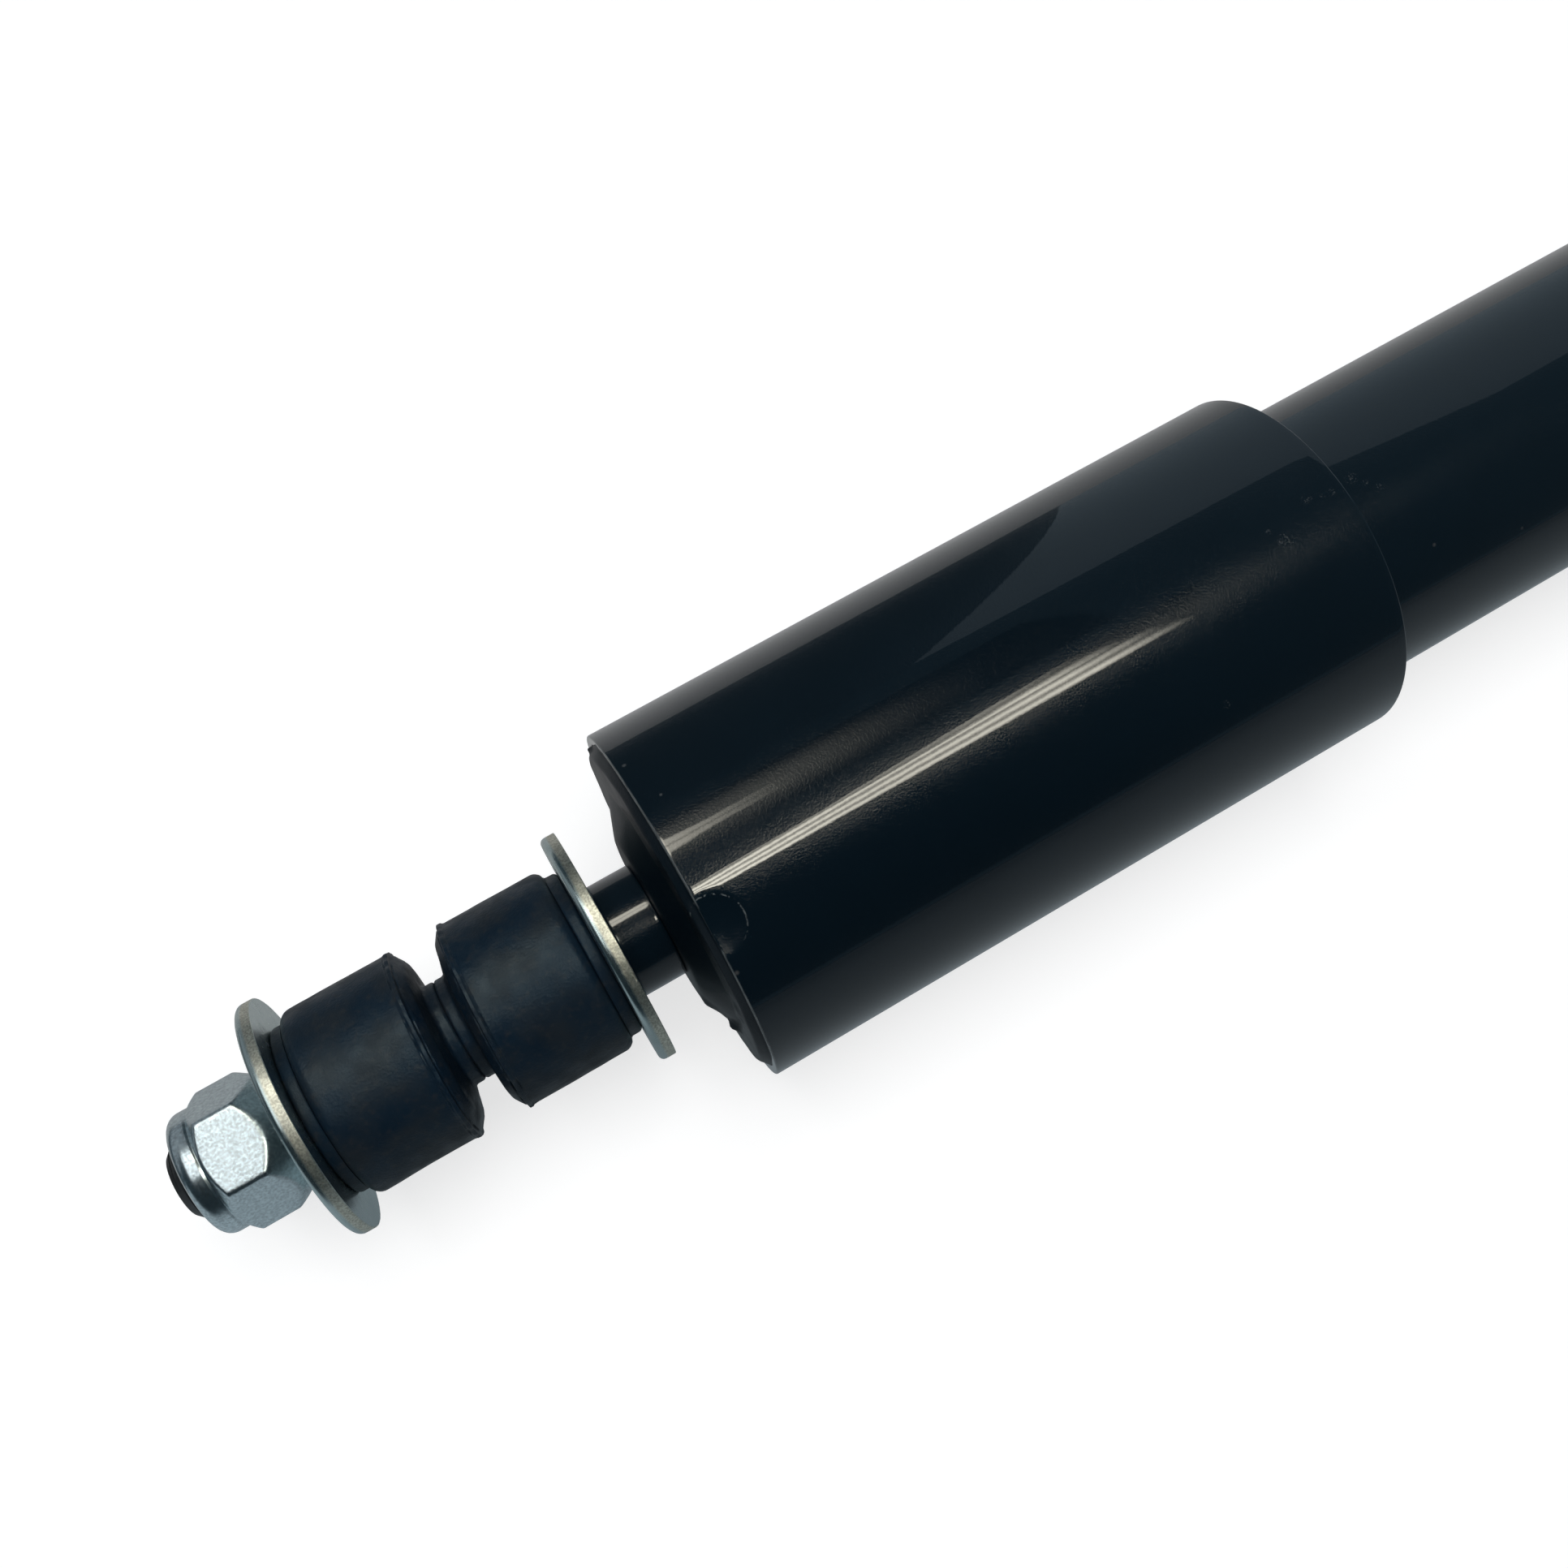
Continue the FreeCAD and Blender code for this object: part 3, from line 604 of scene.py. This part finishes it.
class Shader(Nodes):
    """A material's nodes, placed by the coordinates of the object that wears it."""

    def __init__(self, name, **surface):
        self.material = bpy.data.materials.new(name)
        self.material.use_nodes = True
        super().__init__(self.material.node_tree)
        self.place = self.node("ShaderNodeTexCoord").outputs["Object"]
        self.finish(**surface)

    def finish(self, **surface):
        """Fills inputs of the surface, with underscores for spaces, and returns the material."""
        inputs = self.tree.nodes["Principled BSDF"].inputs
        for name, value in surface.items():
            self.put(value, inputs[name.replace("_", " ")])
        return self.material

    def noise(self, size, detail=3.0, place=None):
        """Noise with features of that size, about 0.5 on average."""
        inputs = {"Vector": place or self.place, "Scale": 1 / size, "Detail": detail}
        return self.node("ShaderNodeTexNoise", inputs).outputs[0]

    def specks(self, spacing, share):
        """Small dots in some of the cells of that spacing, 1 inside a dot."""
        cells = self.node("ShaderNodeTexVoronoi", {"Vector": self.place, "Scale": 1 / spacing})
        dot = self.ramp(cells.outputs["Distance"], 0.10, 0.05)
        split = self.node("ShaderNodeSeparateColor", {"Color": cells.outputs["Color"]})
        chosen = self.ramp(split.outputs["Red"], 1 - share, 1 - share + 0.01)
        return self.times(dot, chosen)

    def bump(self, height, distance, normal=None):
        inputs = {"Height": height, "Distance": distance, "Strength": 1.0}
        if normal is not None:
            inputs["Normal"] = normal
        return self.node("ShaderNodeBump", inputs).outputs[0]

    def axis(self, name):
        return self.node("ShaderNodeSeparateXYZ", {"Vector": self.place}).outputs[name]

    def distance_from_axis(self):
        split = self.node("ShaderNodeSeparateXYZ", {"Vector": self.place}).outputs
        across = self.node("ShaderNodeCombineXYZ", {"Y": split["Y"], "Z": split["Z"]}).outputs[0]
        return self.node("ShaderNodeVectorMath", {"Vector": across}, operation="LENGTH").outputs["Value"]

    def distance_from(self, centre):
        inputs = {0: self.place, 1: centre}
        return self.node("ShaderNodeVectorMath", inputs, operation="DISTANCE").outputs["Value"]

    def turned_place(self):
        """Coordinates that are the same all the way round the axis."""
        inputs = {"X": self.axis("X"), "Y": self.distance_from_axis()}
        return self.node("ShaderNodeCombineXYZ", inputs).outputs[0]


def on_surface(from_rim, radius, degrees):
    """The point that far from the cover's rim, at that radius and angle from the top."""
    angle = math.radians(degrees)
    return RIM_X - from_rim, radius * math.sin(angle), radius * math.cos(angle)


def wear_and_painted_glints(shader):
    """Where the paint is rubbed through, with painted glints: a pale line along the cover's rim that is
    also a painted edge highlight, and in places round its crimps pale crease lines that are partly a
    painted glint, strongest on one side of each.
    """
    # Line along the rim: rubbed-through paint, and also a painted highlight on the rim's edge.
    rim_wear_and_highlight = shader.ramp(shader.apart(shader.axis("X"), RIM_X - 0.1 * MM), 0.17 * MM, 0.07 * MM)
    outside = shader.ramp(shader.distance_from_axis(), 28.0 * MM, 28.2 * MM)
    in_places = shader.ramp(shader.noise(2.5 * MM, 4.0), 0.35, 0.70, 0.15, 0.65)
    wear_and_glint = shader.times(rim_wear_and_highlight, outside, in_places)
    for angle in dent_angles():
        turn = math.degrees(angle)
        centre = on_surface(DENT_SETBACK, COVER_R, turn)
        # The side of each crimp where the painted glint on its crease is strongest.
        glint_side = on_surface(3.0 * MM, COVER_R, turn - 8.0)
        from_edge = shader.apart(shader.distance_from(centre), DENT_RADIUS - 0.05 * MM)
        ring = shader.ramp(from_edge, 0.15 * MM, 0.05 * MM)
        near_glint_side = shader.ramp(shader.distance_from(glint_side), 8.0 * MM, 2.5 * MM)
        broken = shader.ramp(shader.noise(0.6 * MM, 5.0), 0.50, 0.64)
        wear_and_glint = shader.math("MAXIMUM", wear_and_glint, shader.times(ring, near_glint_side, broken))
    return wear_and_glint


def near_any(shader, marks):
    """1 near the marks, each a distance from the rim, radius, angle and size, and 0 away from them."""
    found = None
    for from_rim, radius, degrees, size in marks:
        away = shader.distance_from(on_surface(from_rim, radius, degrees))
        mark = shader.ramp(away, size, 0.4 * size)
        found = mark if found is None else shader.math("MAXIMUM", found, mark)
    return found


def dust_and_scuff_glints(shader):
    """Two specks of dust near the rim, and patches of fine scuffs by the cover's open end, their pale
    colour partly a painted glint.
    """
    tube_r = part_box("reservoir_tube")[1].z
    dots = near_any(shader, [
        (1.4 * MM, COVER_R, -31.9, 0.40 * MM),
        (3.4 * MM, COVER_R, -16.0, 0.28 * MM),
    ])
    # Scuff patches whose pale colour is partly a painted glint.
    scuff_glint_patches = near_any(shader, [
        (106.9 * MM, COVER_R, 2.2, 0.8 * MM),
        (105.4 * MM, COVER_R, 2.4, 0.5 * MM),
        (103.2 * MM, COVER_R, 0.8, 1.0 * MM),
        (97.0 * MM, COVER_R, 8.5, 1.6 * MM),
        (95.6 * MM, COVER_R, 3.6, 0.6 * MM),
        (78.7 * MM, COVER_R, 41.3, 0.8 * MM),
        (116.8 * MM, tube_r, 6.5, 0.9 * MM),
        (115.4 * MM, tube_r, 2.5, 0.6 * MM),
        (114.0 * MM, tube_r, -1.5, 1.2 * MM),
    ])
    scratches = shader.ramp(shader.noise(0.26 * MM), 0.54, 0.70)
    return shader.math("MAXIMUM", dots, shader.times(scuff_glint_patches, scratches))


def black_paint(name, gloss, shine, dullness):
    """Enamel: a smooth clear skin over grainy pigment, worn at edges, with a little dust, and painted
    glints on the worn rim, the crimps' creases and the scuffs.
    """
    shader = Shader(name, Specular_IOR_Level=shine, Coat_Weight=gloss, Coat_Roughness=0.025)
    pigment = (0.34, 1.0, 1.68)
    dust = grey(0.06)
    # Pale grey of the scuff patches, partly a painted glint.
    scuff_and_glint = grey(0.06, (0.9, 1.0, 1.05))
    # Pale grey of rubbed-through paint, also a painted highlight on the rim and a painted glint on the
    # crimps' creases.
    bare = grey(0.20, (0.9, 1.0, 1.0))
    colour = shader.mix(shader.noise(14 * MM), grey(0.0060, pigment), grey(0.0080, pigment))
    colour = shader.mix(shader.specks(5 * MM, 0.06), colour, dust)
    colour = shader.mix(dust_and_scuff_glints(shader), colour, scuff_and_glint)
    colour = shader.mix(wear_and_painted_glints(shader), colour, bare)
    peel = shader.bump(shader.noise(2.6 * MM, 2.0), 0.004 * MM)
    skin = shader.bump(shader.noise(0.45 * MM, 2.0), 0.0012 * MM, peel)
    grain = shader.bump(shader.noise(0.28 * MM), 0.038 * MM)
    rough = shader.ramp(shader.noise(6 * MM), 0.3, 0.7, dullness - 0.03, dullness + 0.03)
    return shader.finish(Base_Color=colour, Roughness=rough, Normal=grain, Coat_Normal=skin)


def rubber():
    """Moulded black rubber with a soft sheen, slight bloom and fine pores."""
    shader = Shader("rubber", Specular_IOR_Level=0.38, Specular_Tint=(0.78, 0.95, 1.0, 1.0))
    cold = grey(0.0125, (0.36, 1.0, 1.9))
    warm = grey(0.0145, (0.70, 1.0, 1.4))
    chalky = grey(0.026, (0.95, 1.0, 1.05))
    mottle = shader.ramp(shader.noise(6 * MM, 6.0), 0.42, 0.66)
    bloom = shader.ramp(shader.noise(1.1 * MM, 5.0), 0.54, 0.78, 0.0, 0.65)
    colour = shader.mix(bloom, shader.mix(mottle, cold, warm), chalky)
    pores = shader.bump(shader.noise(0.40 * MM, 4.0), 0.06 * MM)
    waves = shader.bump(shader.noise(3 * MM, 5.0), 0.11 * MM, pores)
    rough = shader.ramp(shader.noise(3 * MM, 5.0), 0.32, 0.68, 0.34, 0.54)
    return shader.finish(Base_Color=colour, Roughness=rough, Normal=waves)


def torn_band(shader):
    """1 on the torn part of each washer's edge."""
    torn = None
    for node in ("inner_washer", "outer_washer"):
        aside = shader.apart(shader.axis("X"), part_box(node)[0].x + TORN_WIDTH / 2)
        band = shader.ramp(aside, TORN_WIDTH / 2 + 0.2 * MM, TORN_WIDTH / 2 - 0.2 * MM)
        torn = band if torn is None else shader.math("MAXIMUM", torn, band)
    on_edge = shader.ramp(shader.distance_from_axis(), 18.25 * MM, 18.35 * MM)
    return shader.times(torn, on_edge)


def zinc():
    """Dull zinc plate, bluish on the faces and torn by the press along the edge."""
    shader = Shader("zinc", Metallic=1.0)
    torn = torn_band(shader)
    tear = shader.noise(0.30 * MM, 4.0)
    clouds = shader.noise(4 * MM, 5.0)
    plate = shader.mix(clouds, grey(0.56, (0.80, 1.0, 1.0)), grey(0.76, (0.88, 1.0, 1.0)))
    streaks = shader.ramp(tear, 0.35, 0.65)
    bare = shader.mix(streaks, grey(0.55, (1.0, 0.98, 0.82)), grey(0.90, (1.0, 1.0, 0.88)))
    plain = shader.bump(shader.noise(0.6 * MM), 0.0012 * MM)
    normal = shader.bump(shader.times(tear, torn), 0.022 * MM, plain)
    plain_rough = shader.ramp(shader.noise(2.5 * MM, 2.0), 0.3, 0.7, 0.22, 0.29)
    rough = shader.math("ADD", plain_rough, shader.ramp(torn, 0.0, 1.0, 0.0, 0.17))
    return shader.finish(Base_Color=shader.mix(torn, plate, bare), Roughness=rough, Normal=normal)


def bright_zinc():
    """Bright zinc plate: crystalline on the flats, smooth on the formed collar."""
    shader = Shader("bright_zinc", Metallic=1.0)
    tint = (0.86, 0.98, 1.02)
    smooth_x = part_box("lock_nut")[0].x + HEX_LENGTH + 0.2 * MM
    crystals = shader.noise(0.42 * MM, 4.0)
    colour = shader.mix(shader.ramp(crystals, 0.35, 0.65), grey(0.62, tint), grey(0.90, tint))
    on_flats = shader.ramp(shader.axis("X"), smooth_x, smooth_x - 0.5 * MM)
    normal = shader.bump(shader.times(crystals, on_flats), 0.029 * MM)
    rough = shader.ramp(on_flats, 0.0, 1.0, 0.24, 0.27)
    return shader.finish(Base_Color=colour, Roughness=rough, Normal=normal)


def chromed_rod():
    """Chrome on the rod, and a dull black finish on the stem beyond it."""
    shader = Shader("chromed_rod")
    chrome_end = 0.2775
    plated = shader.ramp(shader.axis("X"), chrome_end, chrome_end - 0.5 * MM)
    colour = shader.mix(plated, grey(0.010, (0.9, 1.0, 1.1)), grey(0.60, (0.98, 1.0, 1.02)))
    polish = shader.ramp(shader.noise(0.8 * MM, 4.0), 0.3, 0.7, 0.10, 0.20)
    rough = shader.math("ADD", polish, shader.ramp(plated, 0.0, 1.0, 0.30, 0.0))
    normal = shader.bump(shader.noise(0.5 * MM), 0.012 * MM)
    return shader.finish(Base_Color=colour, Metallic=plated, Roughness=rough, Normal=normal)


def machined(name, dark, pale, rough, grain):
    """A bare metal, slightly cloudy, with fine turning marks round the axis."""
    shader = Shader(name, Metallic=1.0)
    colour = shader.mix(shader.ramp(shader.noise(5 * MM), 0.25, 0.75), dark, pale)
    roughness = shader.ramp(shader.noise(2.0 * MM), 0.3, 0.7, rough - 0.04, rough + 0.04)
    marks = shader.bump(shader.noise(grain, 2.0, shader.turned_place()), 0.012 * grain)
    normal = shader.bump(shader.noise(grain), 0.008 * grain, marks)
    return shader.finish(Base_Color=colour, Roughness=roughness, Normal=normal)


def moulded(name, dark, pale, rough):
    """A plastic with slight clouds and a fine mould texture."""
    shader = Shader(name)
    colour = shader.mix(shader.noise(3 * MM, 4.0), dark, pale)
    roughness = shader.ramp(shader.noise(1.2 * MM, 4.0), 0.3, 0.7, rough - 0.08, rough + 0.08)
    normal = shader.bump(shader.noise(0.4 * MM), 0.015 * MM)
    return shader.finish(Base_Color=colour, Roughness=roughness, Normal=normal)


def finishes():
    """One material for each slot of the record, and a thinner coat for the cap."""
    dark_bronze = grey(0.5, (1.0, 0.66, 0.36))
    pale_bronze = grey(0.66, (1.0, 0.68, 0.4))
    return {
        "black_paint": black_paint("black_paint", gloss=1.0, shine=0.20, dullness=0.17),
        "cover_cap": black_paint("thin_black_paint", gloss=0.14, shine=0.18, dullness=0.45),
        "rubber": rubber(),
        "zinc": zinc(),
        "bright_zinc": bright_zinc(),
        "chromed_rod": chromed_rod(),
        "bare_steel": machined("bare_steel", grey(0.34), grey(0.50), rough=0.32, grain=0.4 * MM),
        "spring_steel": machined("spring_steel", grey(0.16), grey(0.28), rough=0.30, grain=0.3 * MM),
        "sintered_iron": machined("sintered_iron", grey(0.15), grey(0.24), rough=0.50, grain=0.25 * MM),
        "guide_alloy": machined("guide_alloy", grey(0.52), grey(0.66), rough=0.34, grain=0.4 * MM),
        "bronze": machined("bronze", dark_bronze, pale_bronze, rough=0.3, grain=0.3 * MM),
        "nylon": moulded("nylon", grey(0.55), grey(0.68, (1.0, 1.0, 0.96)), rough=0.42),
        "band_plastic": moulded("band_plastic", grey(0.03), grey(0.05), rough=0.40),
    }


def dress(pieces):
    """Gives every piece its own finish or its slot's, and every CAD node its slot's."""
    materials = finishes()
    for piece in pieces:
        material = materials.get(piece.name, materials[piece["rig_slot"]])
        piece.data.materials.append(material)
    for entry in frame["record"]["subparts"]:
        node = frame["nodes"][entry["node"]]
        node.data.materials.clear()
        node.data.materials.append(materials[entry["material_slot"]])


# Stage

class StageNodes(Nodes):
    """The nodes of the floor, a card or the world."""

    def spot(self):
        """The x and y of the point in the frame."""
        place = self.node("ShaderNodeTexCoord").outputs["Object"]
        split = self.node("ShaderNodeSeparateXYZ", {"Vector": place})
        return split.outputs["X"], split.outputs["Y"]

    def show(self, shader):
        self.put(shader, self.tree.nodes["Material Output"].inputs["Surface"])


def level_sheet(low_x, high_x, low_y, high_y, z):
    return [(low_x, low_y, z), (high_x, low_y, z), (high_x, high_y, z), (low_x, high_y, z)]


def stage_sheet(name, corners):
    """A flat sheet that belongs to the stage, and the nodes of its still empty material."""
    mesh = bpy.data.meshes.new(name)
    mesh.from_pydata(corners, [], [tuple(range(len(corners)))])
    sheet = placed(name, mesh)
    material = bpy.data.materials.new(name)
    material.use_nodes = True
    material.node_tree.nodes.remove(material.node_tree.nodes["Principled BSDF"])
    mesh.materials.append(material)
    return sheet, StageNodes(material.node_tree)


def floor():
    """Pale floor that reads white to the camera, keeps the shadow, and is greyer in reflections."""
    reach = 8.0
    corners = level_sheet(-reach, reach, -reach, reach, cad_box[0][2])
    nodes = stage_sheet("floor", corners)[1]
    path = nodes.node("ShaderNodeLightPath")
    x, y = nodes.spot()
    away = nodes.math("SQRT", nodes.math("ADD", nodes.times(x, x), nodes.times(y, y)))
    direct = nodes.times(path.outputs["Is Camera Ray"], nodes.ramp(away, 0.8, 3.0, 0.72, 1.0))
    mirrored = nodes.math("MAXIMUM", path.outputs["Is Glossy Ray"], path.outputs["Is Transmission Ray"])
    strength = nodes.math("ADD", direct, nodes.times(mirrored, 0.03))
    glow = nodes.node("ShaderNodeEmission", {"Strength": strength})
    matte = nodes.node("ShaderNodeBsdfDiffuse", {"Color": grey(0.42)})
    both = nodes.node("ShaderNodeAddShader", {0: matte.outputs[0], 1: glow.outputs[0]})
    nodes.show(both.outputs[0])


def reflection_card(name, corners, colour):
    """A card that shows only in reflections; returns its nodes and the strength of its glow."""
    card, nodes = stage_sheet(name, corners)
    glow = nodes.node("ShaderNodeEmission", {"Color": colour})
    nodes.show(glow.outputs[0])
    card.visible_camera = False
    card.visible_diffuse = False
    card.visible_shadow = False
    return nodes, glow.inputs["Strength"]


def cards():
    """Round the pale floor: dark behind the stem, grey behind the tube, and painted shade of the floor
    elsewhere, seen only in reflections.
    """
    back_y = -0.223
    ground = cad_box[0][2] + 0.2 * MM
    low_split, high_split = 0.115, 0.150
    stem_end = 0.39
    left, right = -2.4, 1.6
    top = 0.26
    left_top = 0.59
    floor_end = 3.0
    dark = (0.70, 1.0, 1.2)

    def upright(*corners):
        return [(x, back_y, z) for x, z in corners]

    behind_stem = upright((low_split, ground), (stem_end, ground), (stem_end, top), (high_split, top))
    beyond_stem = upright((stem_end, ground), (right, ground), (right, top), (stem_end, top))
    behind_tube = upright(
        (left, ground),
        (low_split, ground),
        (high_split, 0.25),
        (-0.02, 0.29),
        (-0.30, left_top),
        (left, left_top),
    )
    # Painted shade: a dark patch of floor beyond the stem end, seen only in reflections.
    end_floor_shade = level_sheet(0.41, floor_end, back_y, 0.0, ground)
    near_floor_shade = level_sheet(-floor_end, floor_end, 0.0, floor_end, ground)
    reflection_card("dark_card", behind_stem, grey(0.05, dark))
    reflection_card("pale_card", beyond_stem, grey(0.24, (0.90, 1.0, 1.08)))
    reflection_card("grey_card", behind_tube, grey(0.30, (0.80, 1.0, 1.14)))
    reflection_card("end_floor_shade", end_floor_shade, grey(0.06, dark))
    nodes, strength = reflection_card("near_floor_shade", near_floor_shade, grey(1.0, (0.86, 1.0, 1.08)))
    x, y = nodes.spot()
    # Painted shade of the floor in reflections: dimmer further out on this side, brighter past the stem
    # end.
    level = nodes.ramp(y, 0.05, 0.60, 0.21, 0.13)
    at_stem_end = nodes.ramp(x, 0.335, 0.36, 1.0, 1.6)
    nodes.put(nodes.times(level, at_stem_end), strength)


def lamp(name, start_x, end_x, y, height, width, radiance, seen_in_gloss=True):
    """A flat white lamp facing down, from one x to the other along its middle."""
    length = end_x - start_x
    light = bpy.data.lights.new(name, "AREA")
    light.shape = "RECTANGLE"
    light.size = length
    light.size_y = width
    light.energy = radiance * math.pi * length * width
    holder = placed(name, light)
    holder.location = ((start_x + end_x) / 2, y, height)
    holder.visible_glossy = seen_in_gloss


def strip_light(height, colour):
    """A strip that fades along its length, with a wide dim glow beside it."""
    core_y = -0.53
    glow_y = -0.60
    glow_reach = 0.4
    corners = level_sheet(-0.4, 0.5, glow_y - glow_reach, glow_y + glow_reach, height)
    nodes, strength = reflection_card("strip_light", corners, colour)
    x, y = nodes.spot()
    from_core = nodes.apart(y, core_y)
    half_width = nodes.ramp(x, 0.10, 0.22, 0.10, 0.22)
    share = nodes.math("DIVIDE", from_core, half_width)
    soft_edge = nodes.ramp(share, 1.0, 0.6, kind="SMOOTHSTEP")
    core_end = nodes.ramp(x, -0.02, 0.26, kind="SMOOTHSTEP")
    twin_tubes = nodes.ramp(from_core, 0.0, 0.03, 4.0, 8.5)
    haze = nodes.ramp(nodes.apart(y, glow_y), glow_reach, 0.05, 0.0, 0.50, "SMOOTHSTEP")
    haze_end = nodes.ramp(x, -0.26, 0.02, kind="SMOOTHSTEP")
    core = nodes.times(soft_edge, core_end, twin_tubes)
    nodes.put(nodes.math("ADD", core, nodes.times(haze, haze_end)), strength)


def ribbed_light(height, colour):
    """A panel of tubes, crisp on one side, dimmer towards the other and at its far end."""
    near_x, far_x = 0.175, -0.50
    near_low, near_high = 0.217, 0.416
    far_low, far_high = -0.06, 0.425
    tube_count = 3.5
    corners = [(near_x, near_low), (near_x, near_high), (far_x, far_high), (far_x, far_low)]
    nodes, strength = reflection_card("ribbed_light", [(x, y, height) for x, y in corners], colour)
    x, y = nodes.spot()
    along = nodes.ramp(x, near_x, far_x)
    low = nodes.ramp(along, 0.0, 1.0, near_low, far_low)
    high = nodes.ramp(along, 0.0, 1.0, near_high, far_high)
    across = nodes.math("DIVIDE", nodes.math("SUBTRACT", high, y), nodes.math("SUBTRACT", high, low))
    ribs = nodes.math("COSINE", nodes.times(across, FULL_TURN * tube_count))
    level = nodes.math("MULTIPLY_ADD", ribs, -4.5, 8.0)
    dimmer = nodes.ramp(across, 1.0, 0.70, 0.25, 1.0)
    crisp = nodes.ramp(across, 0.0, 0.05)
    nearer = nodes.ramp(along, 0.0, 0.35, 1.6, 1.0)
    ending = nodes.ramp(nodes.math("MULTIPLY_ADD", across, 0.26, along), 1.02, 0.84)
    nodes.put(nodes.times(level, dimmer, crisp, nearer, ending), strength)


def lamps():
    """Warm lights and a panel that the gloss shows, and a fill that it doesn't."""
    height = 1.53
    warm = grey(1.0, (1.0, 0.96, 0.82))
    strip_light(height, warm)
    ribbed_light(height, warm)
    lamp("end_panel", 0.46, 1.2, y=-0.45, height=height, width=1.5, radiance=1.25)
    lamp("fill", -0.5, 0.9, y=0.0, height=2.2, width=1.4, radiance=5.2, seen_in_gloss=False)


def world():
    """Dim overhead, pale towards the horizon, white where the camera looks at it."""
    made = bpy.data.worlds.new("studio")
    made.use_nodes = True
    bpy.context.scene.world = made
    nodes = StageNodes(made.node_tree)
    outlook = nodes.node("ShaderNodeTexCoord").outputs["Generated"]
    x, y, z = nodes.node("ShaderNodeSeparateXYZ", {"Vector": outlook}).outputs
    band_top = nodes.ramp(y, -0.1, 0.1, 0.14, 0.05)
    band = nodes.times(nodes.ramp(z, band_top, 0.02), 0.10)
    tube_end = nodes.math("MINIMUM", x, 0.0)
    lengthwise = nodes.times(tube_end, tube_end, 0.14)
    sideways = nodes.times(y, -0.03)
    ceiling = nodes.math("ADD", nodes.math("ADD", lengthwise, sideways), 0.035)
    level = nodes.math("MAXIMUM", nodes.math("MAXIMUM", ceiling, 0.02), band)
    seen_directly = nodes.node("ShaderNodeLightPath").outputs["Is Camera Ray"]
    background = made.node_tree.nodes["Background"].inputs
    nodes.put(nodes.mix(seen_directly, grey(1.0, (0.62, 1.0, 1.25)), grey(1.0)), background["Color"])
    nodes.put(nodes.math("MAXIMUM", level, seen_directly), background["Strength"])


def camera():
    """The photograph's view: from above the stem end, with no roll."""
    data = bpy.data.cameras.new("camera")
    data.sensor_width = 36.0
    data.lens = 37.33
    holder = placed("camera", data)
    holder.location = (RIM_X + 0.01579, 0.05731, 0.23428)
    forward = Vector((-0.15685, -0.26711, -0.95082))
    holder.rotation_euler = forward.to_track_quat("-Z", "Y").to_euler()
    bpy.context.scene.camera = holder


dress([
    dust_cover(),
    dust_cap(),
    stem_collar(),
    washer("inner_stem_washer", "inner_washer"),
    washer("outer_stem_washer", "outer_washer"),
    stem_bush("inner_stem_bush", "inner_bush", -1),
    stem_bush("outer_stem_bush", "outer_bush", 1),
    lock_nut(),
    piston_rod(),
    valve_spring("base_intake_coil", "base_intake_spring"),
    valve_spring("piston_check_coil", "piston_check_spring"),
    valve_spring("rebound_valve_coil", "rebound_valve_spring"),
])
floor()
cards()
lamps()
world()
camera()
bpy.context.scene.view_settings.view_transform = "Standard"
